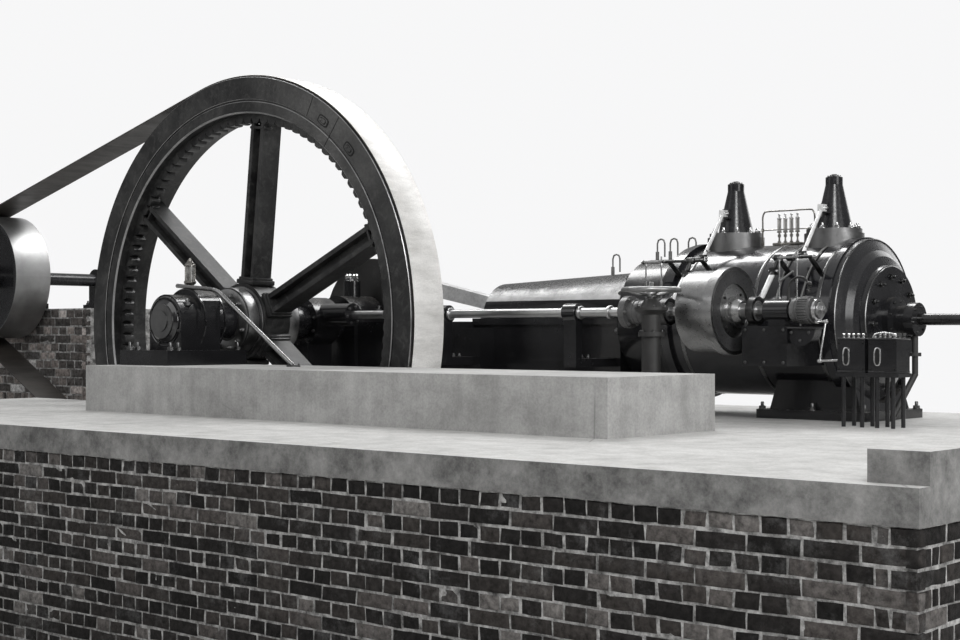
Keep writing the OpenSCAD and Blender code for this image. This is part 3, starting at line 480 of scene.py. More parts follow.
def brass(name):
    """Worn brass fittings."""
    f = Finish(name)
    patches = f.noise(30, 5, 0.6)
    tone = f.ramp(patches, [(0.3, (0.09, 0.087, 0.08)), (0.55, (0.26, 0.25, 0.235)),
                            (0.8, (0.50, 0.485, 0.455))])
    gloss = f.ramp(patches, [(0.3, 0.42), (0.7, 0.18)])
    return f.done(Base_Color=tone, Roughness=gloss, Normal=f.bump(f.noise(220, 3), 0.0004, 0.3), Metallic=1.0)


def glass(name):
    """Oiler glass, part filled with oil."""
    f = Finish(name)
    tone = f.ramp(f.noise(24, 3), [(0.3, (0.16, 0.158, 0.15)), (0.7, (0.46, 0.455, 0.44))])
    return f.done(Base_Color=tone, Roughness=0.06, Transmission_Weight=0.55, IOR=1.45)


def concrete(name, light, dark, streaks=0.0, skirt=None):
    """Cast concrete: patches, pits, hairline cracks, run marks on upright faces, and upright faces painted
    darker as shade, with dirty mottling.
    """
    f = Finish(name)
    patches = f.noise(0.9, 7, 0.6, bend=0.3)
    mottle = f.noise(6.5, 7, 0.68)
    specks = f.noise(60, 5, 0.7)
    tone = f.ramp(patches, [(0.3, dark), (0.62, light)])
    tone = f.blend(0.45, tone, f.ramp(mottle, [(0.3, shade(dark, 0.72)), (0.62, light)]))
    tone = f.blend(0.22, tone, f.ramp(specks, [(0.38, 0.16), (0.6, 0.95)]), "MULTIPLY")
    crack = f.ramp(f.cracks(0.55), [(0.0, 1.0), (0.0032, 0.0)])
    open_crack = f.sum("MULTIPLY", crack, f.ramp(f.noise(1.3, 3), [(0.52, 0.0), (0.62, 0.6)]))
    tone = f.blend(open_crack, tone, 0.14)
    if streaks:
        runs = f.ramp(f.noise(9, 5, 0.6, (1, 1, 0.06)), [(0.42, 0.0), (0.68, 1.0)])
        share = f.sum("MULTIPLY", f.sum("MULTIPLY", runs, f.upright()), streaks)
        tone = f.blend(share, tone, shade(dark, 0.42))
    if skirt:
        # Painted shade: upright faces are painted far darker than level ones; the stains and worn ramps
        # mottle this dark tone, partly real dirt.
        stains = f.ramp(mottle, [(0.34, shade(skirt, 0.35)), (0.62, shade(skirt, 1.3))])
        worn = f.ramp(f.noise(3.5, 9, 0.8), [(0.38, shade(skirt, 0.5)), (0.66, dark)])
        tone = f.blend(f.upright(), tone, f.blend(0.5, stains, worn))
    skin = f.bump(mottle, 0.004, 0.5)
    skin = f.bump(specks, 0.0012, 0.5, skin)
    return f.done(Base_Color=tone, Roughness=f.ramp(mottle, [(0.3, 0.95), (0.7, 0.75)]), Normal=skin)


def brick(name, lift=1.0, smears=0.5):
    """Old brick: each brick has its own tone, with burnt ends, lime bloom and smears of mortar."""
    f = Finish(name)
    own = f.add("ShaderNodeAttribute")
    own.attribute_name = "tone"
    tones = ((0.0, (0.007, 0.0065, 0.0062)), (0.4, (0.015, 0.0135, 0.0128)),
             (0.75, (0.030, 0.0265, 0.0245)), (0.92, (0.060, 0.054, 0.051)), (1.0, (0.12, 0.113, 0.108)))
    # lift scales every brick tone; above 1 it makes a lighter copy that paints in light
    tone = f.ramp(own.outputs["Fac"], [(at, shade(colour, lift, most=0.5)) for at, colour in tones])
    mottle = f.noise(26, 6, 0.68)
    tone = f.blend(0.85, tone, f.ramp(mottle, [(0.30, 0.12), (0.68, 1.8)]), "MULTIPLY")
    bloom = f.ramp(f.noise(3.1, 10, 0.82), [(0.52, 0.0), (0.70, smears)])
    tone = f.blend(bloom, tone, f.ramp(mottle, [(0.3, 0.07), (0.7, 0.20)]))
    skin = f.bump(mottle, 0.010, 0.8)
    skin = f.bump(f.noise(160, 4, 0.7), 0.002, 0.6, skin)
    return f.done(Base_Color=tone, Roughness=f.ramp(mottle, [(0.3, 0.9), (0.7, 0.7)]), Normal=skin,
                  Specular_IOR_Level=0.15)


def mortar(name):
    """Pale lime mortar, crumbled and dirty in places, with near-black patches that also paint in the shade of
    the recessed joints.
    """
    f = Finish(name)
    mottle = f.noise(17, 7, 0.7)
    # the darkest stop is partly dirt and partly painted shade in the joints
    tone = f.ramp(mottle, [(0.32, (0.03, 0.029, 0.028)), (0.45, (0.16, 0.158, 0.154)),
                           (0.64, (0.42, 0.415, 0.407))])
    skin = f.bump(mottle, 0.014, 0.9)
    skin = f.bump(f.noise(120, 4, 0.7), 0.002, 0.6, skin)
    return f.done(Base_Color=tone, Roughness=0.95, Normal=skin)


def leather(name, light, dark, rough, stretch):
    """Belt leather with rub marks along the run; on the belt's pale outside the streaks also paint in its
    sheen.
    """
    f = Finish(name)
    rubs = f.noise(7, 6, 0.65, stretch)
    grain = f.noise(120, 4, 0.7)
    tone = f.ramp(rubs, [(0.3, dark), (0.6, light)])
    tone = f.blend(0.3, tone, f.ramp(grain, [(0.35, 0.4), (0.65, 1.1)]), "MULTIPLY")
    gloss = f.ramp(rubs, [(0.3, rough[0]), (0.7, rough[1])])
    return f.done(Base_Color=tone, Roughness=gloss, Normal=f.bump(grain, 0.0008, 0.4))


def part_polished(name, mask_of, dark=(0.008, 0.008, 0.009), bright=0.5, rough=(0.22, 0.42),
                  paint=(0.16, 0.34), dent=0.003):
    """Black enamel with its working faces polished; mask_of gives the mask from the finish."""
    f = Finish(name)
    mask = mask_of(f)
    patches = f.noise(5, 6, 0.6, bend=0.3)
    fine = f.noise(60, 4, 0.65)
    metal = f.ramp(patches, [(0.3, bright * 0.75), (0.55, bright), (0.75, min(1, bright * 1.2))])
    black = f.ramp(patches, [(0.3, dark), (0.75, shade(dark, 2.2, 0.004))])
    gloss = f.blend(mask, f.ramp(fine, [(0.35, paint[0]), (0.7, paint[1])]),
                    f.ramp(fine, [(0.3, rough[0]), (0.7, rough[1])]))
    skin = f.bump(fine, 0.0003, 0.2)
    skin = f.bump(f.noise(3, 2, 0.5), dent, 0.25, skin)
    return f.done(Base_Color=f.blend(mask, black, metal), Roughness=gloss, Metallic=mask, Normal=skin,
                  Specular_IOR_Level=0.4)


def side_shaft_reach(f):
    """Distance from the side shaft's centre line."""
    return f.reach("x", SIDE_Y, SIDE_Z)


def worn_guide(f):
    """The guide's cover, bare steel low down with a ragged edge to the paint above."""
    height = f.sum("ADD", f.split(f.place)[2], f.sum("MULTIPLY", f.noise(7, 7, 0.75, bend=0.5), 0.12))
    return f.ramp(f.sum("SUBTRACT", height, AXIS + 0.158), [(0.09, 1.0), (0.16, 0.0)])


def drum_bare(f):
    """The drum's shell and the inner part of its face."""
    reach = side_shaft_reach(f)
    return f.sum("MAXIMUM", f.sum("GREATER_THAN", reach, 0.262), f.sum("LESS_THAN", reach, 0.176))


def wheel_paint(name):
    """Dark paint on the wheel, greasy and dusty, with lighter scuffs and a painted reflection: a lighter
    mottled patch on the rim's upper right.
    """
    f = Finish(name)
    patches = f.noise(3.2, 7, 0.66, bend=0.5)
    fine = f.noise(42, 5, 0.7)
    tone = f.ramp(patches, [(0.3, (0.006, 0.006, 0.0062)), (0.50, (0.014, 0.014, 0.0142)),
                            (0.72, (0.040, 0.040, 0.039))])
    scuffs = f.ramp(f.noise(13, 8, 0.76, bend=0.8), [(0.50, 0.0), (0.70, 0.6)])
    tone = f.blend(scuffs, tone, (0.075, 0.074, 0.072))
    # rubbed is a painted reflection, not wear: a lighter mottled patch on the upper right of the rim
    rubbed = f.sum("MULTIPLY", f.ramp(f.reach("y", 1.05, AXIS + 1.45), [(0.25, 0.8), (0.95, 0.0)]),
                   f.ramp(patches, [(0.35, 0.4), (0.60, 1.0)]))
    tone = f.blend(rubbed, tone, (0.085, 0.084, 0.082))
    tone = f.blend(0.4, tone, f.ramp(fine, [(0.35, 0.35), (0.65, 1.5)]), "MULTIPLY")
    gloss = f.ramp(f.blend(0.5, patches, fine), [(0.32, 0.26), (0.68, 0.55)])
    skin = f.bump(patches, 0.004, 0.5)
    skin = f.bump(fine, 0.0009, 0.4, skin)
    return f.done(Base_Color=tone, Roughness=gloss, Normal=skin, Specular_IOR_Level=0.42)


BLACK = enamel("black_enamel", (0.0065, 0.0065, 0.0072), 0.28, shine=0.4, coat=0.25)
COVER_SKIN = enamel("cover_enamel", (0.0065, 0.0065, 0.0075), 0.08, (0.20, 0.34), 0.002, 0.5, 0.1)
BARREL_SKIN = enamel("barrel_enamel", (0.006, 0.006, 0.0075), 0.06, (0.12, 0.24), 0.0022, 0.5, 0.4)
GLOSS = enamel("gloss_enamel", (0.004, 0.004, 0.0045), 0.0, (0.07, 0.14), 0.0006, 0.6, 0.6)
WHEEL_BLACK = wheel_paint("wheel_paint")
DARK = iron("dark_iron", (0.028, 0.0275, 0.027))
SEAM = iron("seam", (0.004, 0.004, 0.004), (0.6, 0.8))
GREY = iron("rubbed_iron", (0.15, 0.149, 0.146), (0.3, 0.5))
STEEL = steel("polished_steel", None, 0.36, (0.2, 0.38))
STEEL_X = steel("turned_steel_x", "x", 0.46, (0.26, 0.46))
STEEL_Y = steel("turned_steel_y", "y", 0.34, (0.24, 0.42))
GEAR_STEEL = gear_steel("gear_steel")
ROD_STEEL = steel("rod_steel", None, 0.72, (0.3, 0.46), 0.35, 0.55)
OILED_NUT = steel("oiled_nut", None, 0.15, (0.24, 0.4), 0.4)
BRIGHT = steel("bright_steel", None, 0.60, (0.16, 0.32), 0.3)
HAND_STEEL = steel("handled_steel", None, 0.30, (0.3, 0.46), 0.4)
OILY = steel("oily_steel", None, 0.09, (0.2, 0.36), 0.5)
DULL = steel("dull_steel", None, 0.30, (0.3, 0.5), 0.7)
WORN = steel("worn_edge", None, 0.34, (0.3, 0.5), 0.8)
RAIL = steel("rail_steel", None, 0.30, (0.2, 0.36), 0.4)
BARREL_BAND = steel("barrel_band", None, 0.16, (0.2, 0.34), 0.4)
SHAFT_STEEL = part_polished("side_shaft_steel", lambda f: f.sum("LESS_THAN", side_shaft_reach(f), 0.05),
                            (0.055, 0.055, 0.055), 0.46, (0.26, 0.46), (0.24, 0.4))
GUIDE_SHEET = part_polished("guide_sheet", worn_guide, (0.022, 0.022, 0.022), 0.62, (0.26, 0.5), (0.2, 0.36))
DRUM_SKIN = part_polished("drum_skin", drum_bare, (0.02, 0.02, 0.0205), 0.34, (0.24, 0.38), (0.24, 0.4),
                          0.0008)
PULLEY_SKIN = part_polished("pulley_skin", lambda f: f.sum(
    "GREATER_THAN", f.reach("y", PULLEY.x, PULLEY.z), PULLEY_R - 0.003), bright=0.40, rough=(0.34, 0.5))
BONNET_SKIN = part_polished("bonnet_skin", lambda f: f.between(
    f.split(f.place)[2], low("front_valve_bonnet").z, CYL_TOP + 0.096), bright=0.2, rough=(0.32, 0.5))
SHAFT_SKIN = part_polished("shaft_skin", lambda f: f.sum("LESS_THAN", f.split(f.place)[1], -2.335),
                           bright=0.17, rough=(0.32, 0.5))
BRASS = brass("worn_brass")
GLASS = glass("oiler_glass")
FLOOR_CONCRETE = concrete("floor_concrete", (0.58, 0.577, 0.565), (0.38, 0.377, 0.367),
                          skirt=(0.098, 0.097, 0.095))
PLINTH_CONCRETE = concrete("plinth_concrete", (0.50, 0.497, 0.488), (0.30, 0.298, 0.29), 0.25)
BRICK = brick("old_brick")
# The pier's bricks: the old brick made 6.5 times lighter, which paints in the stronger light on the pier.
LIT_BRICK_PAINTED = brick("painted_lit_brick", 6.5, 0.75)
MORTAR = mortar("lime_mortar")
# The belt's outside is painted pale for its sheen, and its inside near black for the shade on its underside.
BELT_OUT_PAINTED_SHEEN = leather("belt_outside_painted_sheen", (0.80, 0.79, 0.77), (0.50, 0.49, 0.47), (0.5, 0.3), (1, 0.25, 1))
BELT_IN_PAINTED_SHADE = leather("belt_inside_painted_shade", (0.045, 0.04, 0.036), (0.018, 0.016, 0.015), (0.6, 0.4), (1, 0.25, 1))

# every CAD node that isn't replaced, by its finish
NODES_BY_FINISH = (
    (FLOOR_CONCRETE, "front_floor middle_floor rear_floor"), (PLINTH_CONCRETE, "bearing_plinth"),
    (BLACK, "bed_frame main_bearing_cap outboard_pedestal outboard_cap bevel_casing front_cover tail_gland "
            "cylinder_foot steam_inlet exhaust_outlet side_shaft_brackets lubricators lubricator_stand "
            "pulley_bearings"),
    (GUIDE_SHEET, "guide_cover"), (BARREL_SKIN, "cylinder_barrel"), (COVER_SKIN, "end_cover"),
    (BONNET_SKIN, "front_valve_bonnet rear_valve_bonnet"), (GEAR_STEEL, "front_valve_gear rear_valve_gear"),
    (GREY, "oil_pipes"), (DARK, "stop_valve_column drain_pipe crank_disc"),
    (WHEEL_BLACK, "barring_ring flywheel_spokes"), (SHAFT_SKIN, "crankshaft"), (ROD_STEEL, "connecting_rod"),
    (STEEL_X, "crosshead"), (OILY, "piston_rod"), (SHAFT_STEEL, "side_shaft"), (DRUM_SKIN, "governor_drum"),
    (PULLEY_SKIN, "driven_pulley"))


def dress_nodes():
    """Gives each CAD node that stays its finish, and plain mortar to those that are replaced."""
    finishes = {name: finish for finish, names in NODES_BY_FINISH for name in names.split()}
    for name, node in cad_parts.items():
        node.data.materials.clear()
        node.data.materials.append(finishes.get(name, MORTAR))


COURSE = BRICK_TOP / 16
JOINT = 0.012
BRICK_LONG = 0.25
BRICK_SHORT = 0.125
SINK = 0.012
MAX_DEPTH = 0.055


def one_brick(shape, tones, start, along, out, length, u0, u1, z0, z1, rng):
    """One brick in a wall: a worn face of small cells, rounded edges and sides that run into the mortar."""
    cells = 4 if u1 - u0 > 0.16 else 2
    rows = 2
    edge = 0.009
    own = rng.uniform(0.0, 1.0)
    skew = [rng.uniform(-0.0045, 0.0045) for _ in range(4)]
    back = -0.003 - 0.006 * rng.random() ** 2
    points, faces = [], []

    def corner_shift(s, t):
        return skew[0] * (1 - s) + skew[1] * s, skew[2] * (1 - t) + skew[3] * t

    def within(u):
        return min(max(u, 0.0008), length - 0.0008)

    for j in range(rows + 1):
        for i in range(cells + 1):
            s, t = i / cells, j / rows
            du, dz = corner_shift(t, s)
            u = u0 + edge + (u1 - u0 - 2 * edge) * s + du + rng.uniform(-0.0012, 0.0012)
            z = z0 + edge * 0.8 + (z1 - z0 - 1.6 * edge) * t + dz * 0.7 + rng.uniform(-0.001, 0.001)
            depth = back - min(0.006, abs(rng.gauss(0, 0.0018)))
            points.append(start + along * within(u) + Z * z + out * depth)
    border = [(i, 0) for i in range(cells)] + [(cells, j) for j in range(rows)]
    border += [(i, rows) for i in range(cells, 0, -1)] + [(0, j) for j in range(rows, 0, -1)]
    for depth in (back - 0.006, -MAX_DEPTH):
        for i, j in border:
            s, t = i / cells, j / rows
            du, dz = corner_shift(t, s)
            u = u0 + (u1 - u0) * s + du + rng.uniform(-0.001, 0.001)
            z = z0 + (z1 - z0) * t + dz * 0.7 + rng.uniform(-0.001, 0.001)
            points.append(start + along * within(u) + Z * z + out * depth)
    for j in range(rows):
        for i in range(cells):
            a = j * (cells + 1) + i
            faces.append((a, a + 1, a + cells + 2, a + cells + 1))
    inner = [j * (cells + 1) + i for i, j in border]
    count = len(border)
    first = (cells + 1) * (rows + 1)
    for k in range(count):
        n = (k + 1) % count
        faces.append((inner[k], first + k, first + n, inner[n]))
        faces.append((first + k, first + count + k, first + count + n, first + n))
    shape.faces(points, faces)
    tones.extend([min(1.0, own ** 1.25 + rng.uniform(-0.03, 0.03))] * len(points))


def brick_wall(shape, tones, start, end, out, height, first_long, rng):
    """Lays one face of English bond; first_long is the parity of the courses with long faces."""
    start, end, out = Vector(start), Vector(end), Vector(out)
    length = (end - start).length
    along = (end - start).normalized()
    for c in range(round(height / COURSE)):
        long_faces = c % 2 == first_long
        z0 = c * COURSE + JOINT / 2
        z1 = (c + 1) * COURSE - JOINT / 2
        u = 0.0 if long_faces else -0.001
        while u < length - 0.02:
            size = BRICK_LONG if long_faces else BRICK_SHORT
            if not long_faces and abs(u - BRICK_SHORT) < 0.01:
                size = BRICK_SHORT / 2
            stop = min(u + size, length)
            if length - stop < 0.04:
                stop = length
            a = u + (JOINT / 2 if u > 0.01 else 0.002)
            b = stop - (JOINT / 2 if stop < length else 0.002)
            lift = rng.uniform(-0.0018, 0.0018)
            if b - a > 0.02:
                one_brick(shape, tones, start, along, out, length, a, b, z0 + lift, z1 + lift, rng)
            u = stop


def wall_piece(name, faces, seed, finish=BRICK):
    """A joined mesh of brick faces."""
    rng = random.Random(seed)
    shape, tones = Shape(), []
    for start, end, out, height, first_long in faces:
        brick_wall(shape, tones, start, end, out, height, first_long, rng)
    piece = shape.done(name, "base", "brick", finish, angle=60, clean=False)
    own = piece.data.attributes.new("tone", "FLOAT", "POINT")
    own.data.foreach_set("value", tones)
    return piece


def masonry():
    """The brick foundation and the pulley's pier: mortar cores with laid bricks on every face."""
    front, rear = low("front_brickwork"), high("rear_brickwork")
    left, right = front.x, high("front_brickwork").x
    pit_near, pit_far = high("front_brickwork").y, low("rear_brickwork").y
    pit_end = low("middle_brickwork").x
    core = Shape()
    core.box((left + SINK, front.y + SINK, 0), (right - SINK, pit_near - SINK, BRICK_TOP))
    core.box((pit_end + SINK, pit_near - SINK, 0), (right - SINK, pit_far + SINK, BRICK_TOP))
    core.box((left + SINK, pit_far + SINK, 0), (right - SINK, rear.y - SINK, BRICK_TOP))
    piece = core.done("foundation_mortar", "base", "brick", MORTAR)
    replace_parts(piece, "front_brickwork", "middle_brickwork", "rear_brickwork")
    wall_piece("front_face_bricks", [((right, front.y, 0), (left, front.y, 0), -Y, BRICK_TOP, 0)], 11)
    wall_piece("rear_face_bricks", [((left, rear.y, 0), (right, rear.y, 0), Y, BRICK_TOP, 0)], 12)
    wall_piece("right_end_bricks", [((right, front.y, 0), (right, rear.y, 0), X, BRICK_TOP, 1)], 13)
    wall_piece("left_end_bricks", [
        ((left, front.y, 0), (left, pit_near, 0), -X, BRICK_TOP, 1),
        ((left, pit_far, 0), (left, rear.y, 0), -X, BRICK_TOP, 1)], 14)
    wall_piece("wheel_pit_bricks", [
        ((left, pit_near, 0), (pit_end, pit_near, 0), Y, BRICK_TOP, 0),
        ((pit_end, pit_far, 0), (left, pit_far, 0), -Y, BRICK_TOP, 0),
        ((pit_end, pit_near, 0), (pit_end, pit_far, 0), -X, BRICK_TOP, 1)], 15)
    lo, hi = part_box("pulley_pier")
    core = Shape()
    core.box((lo.x + SINK, lo.y + SINK, 0), (hi.x - 0.002, hi.y - SINK, hi.z - 0.004), 0.006)
    piece = core.done("pier_mortar", "base", "brick", MORTAR)
    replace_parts(piece, "pulley_pier")
    top = hi.z
    # The pier's faces take the lighter brick, with its painted light.
    wall_piece("pier_bricks", [
        ((lo.x, lo.y, 0), (hi.x, lo.y, 0), -Y, top, 0),
        ((lo.x, hi.y, 0), (hi.x, hi.y, 0), Y, top, 0),
        ((lo.x, lo.y, 0), (lo.x, hi.y, 0), -X, top, 1),
        ((hi.x, lo.y, BRICK_TOP + 0.15), (hi.x, hi.y, BRICK_TOP + 0.15), X, top - BRICK_TOP - 0.15, 1)],
        16, LIT_BRICK_PAINTED)


def belt():
    """The flat belt in place of the plain loop: its outside painted pale as a sheen, its inside near black as
    shade.
    """
    lo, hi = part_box("belt")
    line = math.atan2(PULLEY.z - AXIS, PULLEY.x)
    opened = math.acos((WHEEL_R - PULLEY_R) / math.hypot(PULLEY.x, PULLEY.z - AXIS))
    upper, lower = line - opened, line + opened
    path = []
    for centre, radius, first, last, steps in (
            (Vector((0, 0, AXIS)), WHEEL_R, upper, lower - 2 * math.pi, 120),
            (Vector((PULLEY.x, 0, PULLEY.z)), PULLEY_R, lower, upper, 60)):
        path += [(centre, radius, first + (last - first) * k / steps) for k in range(steps + 1)]
    inside, outside = BELT_GAP, hi.z - AXIS - WHEEL_R - 0.0002
    section = [(inside, lo.y), (inside, hi.y), (outside - 0.002, hi.y), (outside, hi.y - 0.004),
               (outside, lo.y + 0.004), (outside - 0.002, lo.y)]
    across = len(section)
    points, rows, marks = [], [], []
    for centre, radius, a in path:
        out = Vector((math.cos(a), 0, math.sin(a)))
        points += [centre + out * (radius + off) + Y * y for off, y in section]
    for i in range(len(path)):
        n = (i + 1) % len(path)
        for k in range(across):
            j = (k + 1) % across
            rows.append((i * across + k, i * across + j, n * across + j, n * across + k))
            marks.append(0 if k in (2, 3, 4) else 1)
    shape = Shape()
    shape.faces(points, rows, marks)
    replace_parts(shape.done("drive_belt", "base", "belt_leather", BELT_OUT_PAINTED_SHEEN, BELT_IN_PAINTED_SHADE), "belt")


def wheel_rim():
    """The flywheel's rim with its turned groove, eased edges and polished tread."""
    width = RIM_FAR - RIM_NEAR
    inner, outer = GROOVE
    edge = 0.004
    profile = [(edge, WHEEL_R), (width - edge, WHEEL_R), (width, WHEEL_R - edge), (width, RIM_INNER + edge),
               (width - edge, RIM_INNER), (0.012, RIM_INNER), (0, RIM_INNER + 0.012), (0, inner - 0.006),
               (0.004, inner), (0.011, inner + 0.001), (0.011, outer - 0.001), (0.003, outer),
               (0, outer + 0.003), (0, WHEEL_R - edge)]
    marks = [1, 2, 0, 0, 0, 2, 0, 2, 0, 0, 0, 2, 0, 2]
    shape = Shape()
    shape.ring((0, RIM_NEAR, AXIS), Y, profile, 240, marks)
    piece = shape.done("wheel_rim", "flywheel", "black_enamel", WHEEL_BLACK, STEEL_Y, WORN, angle=24)
    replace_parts(piece, "flywheel_rim")


def wheel_place(angle, radius, y):
    """A place on the wheel: its x runs round the rim, its y away from the hub, its z to the near side."""
    a = math.radians(angle)
    out = Vector((math.cos(a), 0, math.sin(a)))
    place = Matrix((Vector((-math.sin(a), 0, math.cos(a))), out, -Y)).transposed().to_4x4()
    place.translation = Vector((0, y, AXIS)) + out * radius
    return place


def wheel_joints():
    """The split lines of the rim's halves, with the seats and bolts of the links that hold them."""
    shape = Shape()
    seam, paint = 0, 1
    for turn in (0, 180):
        for angle, first in ((52, RIM_INNER + 0.01), (62, GROOVE[1] + 0.006)):
            shape.box((-0.0036, first, 0), (0.0036, WHEEL_R - 0.008, 0.0008),
                      place=wheel_place(angle + turn, 0, RIM_NEAR))
        for angle in (44.5, 56.0):
            place = wheel_place(angle + turn, 1.782, RIM_NEAR)
            for share, lift, bevel, shape.finish_of_faces in (
                    (1.0, 0.0035, 0, seam), (0.80, 0.005, 0, paint), (0.58, 0.0055, 0, seam),
                    (0.46, 0.0085, 0.0012, paint)):
                shape.plate(rounded(0.062 * share, 0.034 * share, 0.55, 32), place, lift, bevel)
            for side in (-0.022, 0.022):
                shape.turned(place @ Vector((side, 0, 0.0085)), -Y, mm(0, 0, 0, 11, 8, 9.5, 9, 0), 6, 0.4)
            shape.finish_of_faces = seam
    shape.done("wheel_joints", "flywheel", "black_enamel", SEAM, WHEEL_BLACK)


def wheel_hub():
    """Rings and bolts on the flywheel's hub, and the collars at the spokes' feet."""
    shape = Shape()
    paint, worn, dull = 0, 1, 2
    near, far = WHEEL_MID - HUB_LEN / 2, WHEEL_MID + HUB_LEN / 2
    for y, way in ((near, -Y), (far, Y)):
        shape.finish_of_faces = worn
        shape.ring((0, y, AXIS), way, mm(0, 150, 0, 252, 4, 252, 8, 246, 8, 158, 4, 150), 96)
        shape.finish_of_faces = dull
        shape.nut_ring(Vector((0, y, AXIS)) + way * 0.008, way, 0.205, 12, 0.036, 0.2)
    shape.finish_of_faces = worn
    for y, wide, r in ((WHEEL_MID - 0.137, 0.016, 0.274), (WHEEL_MID + 0.121, 0.016, 0.274),
                       (near + 0.006, 0.098, 0.2635), (far - 0.104, 0.098, 0.2635)):
        shape.ring((0, y, AXIS), Y, [(0, 0.256), (0.001, r - 0.001), (0.004, r), (wide - 0.004, r),
                                     (wide - 0.001, r - 0.001), (wide, 0.256)], 96)
    shape.finish_of_faces = paint
    for k in range(6):
        place = wheel_place(FIRST_SPOKE + 60 * k, 0, WHEEL_MID)
        shape.box((-0.101, 0.293, -0.113), (0.101, 0.331, 0.113), 0.008, 2, place)
        shape.box((-0.089, 0.319, -0.102), (0.089, 0.351, 0.102), 0.008, 2, place)
        shape.box((-0.094, 1.506, 0.012), (0.094, 1.528, 0.088), 0.006, 2, place)
    shape.done("wheel_hub", "flywheel", "black_enamel", WHEEL_BLACK, WORN, DULL)


def hand_wheel():
    """The stop valve's handwheel: a round rim, six bowed spokes, a nut and the threaded spindle."""
    centre = middle("handwheel")
    centre.z = HAND_Z
    thick = 0.018
    rim_r = (high("handwheel").x - low("handwheel").x) / 2 - thick
    shape = Shape()
    turns = [2 * math.pi * k / 20 for k in range(20)]
    shape.ring(centre, Z, [(thick * math.sin(a), rim_r + thick * math.cos(a)) for a in turns], 96)
    bow = [(0.024, 0, -0.032), (0.06, 0.014, -0.029), (0.10, 0.023, -0.021),
           (0.145, 0.018, -0.009), (rim_r, 0, 0)]
    for k in range(6):
        place = Matrix.Translation(centre) @ Matrix.Rotation(math.radians(60 * k + 12), 4, "Z")
        shape.tube([place @ Vector(p) for p in bow], 0.0095, 12, 5, 0.0068)
    shape.solid(centre, Z, mm(-50, 26, -44, 33, -22, 34, -14, 30, -11, 22), 40)
    shape.solid(centre, Z, mm(-11, 24, 4, 24, 8, 20), 6)
    shape.finish_of_faces = 1
    shape.solid(centre, Z, [(low("handwheel").z - HAND_Z, 0.016), (-0.050, 0.016)], 24)
    thread = [step for k in range(6) for step in mm(10 + 6 * k, 16, 13 + 6 * k, 13.5)]
    shape.solid(centre, Z, mm(8, 16) + thread + mm(46, 16, 50, 12), 24)
    piece = shape.done("hand_wheel", "handwheel", "polished_steel", HAND_STEEL, STEEL, angle=30)
    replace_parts(piece, "handwheel")


def rail():
    """The polished rail that falls from the outboard housing to the plinth, with its foot flange."""
    lo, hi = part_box("handrail")
    y = (lo.y + hi.y) / 2
    radius = (hi.y - lo.y) / 2
    crest = hi.z - radius
    shape = Shape()
    foot = Vector((hi.x - 0.02, y, lo.z))
    bend = Vector((0.345, y, 2.292))
    run = (foot - bend).normalized()
    start = Vector((lo.x + 0.004, y, crest - 0.002))
    level = (bend - start).normalized()
    shape.tube([start, start + level * 0.16, bend - level * 0.075, bend - level * 0.03 + run * 0.008,
                bend + run * 0.03 - level * 0.008, bend + run * 0.075, bend + run * 0.5, foot], radius, 20, 6)
    shape.finish_of_faces = 1
    shape.solid(foot - X * 0.012, Z, mm(0, 50, 8, 50, 12, 46), 32)
    for k in range(4):
        a = math.pi / 4 + k * math.pi / 2
        shape.nut(foot + Vector((-0.012 + 0.037 * math.cos(a), 0.037 * math.sin(a), 0.012)), Z, 0.014)
    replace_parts(shape.done("rail", "base", "polished_steel", RAIL, DARK, angle=50), "handrail")


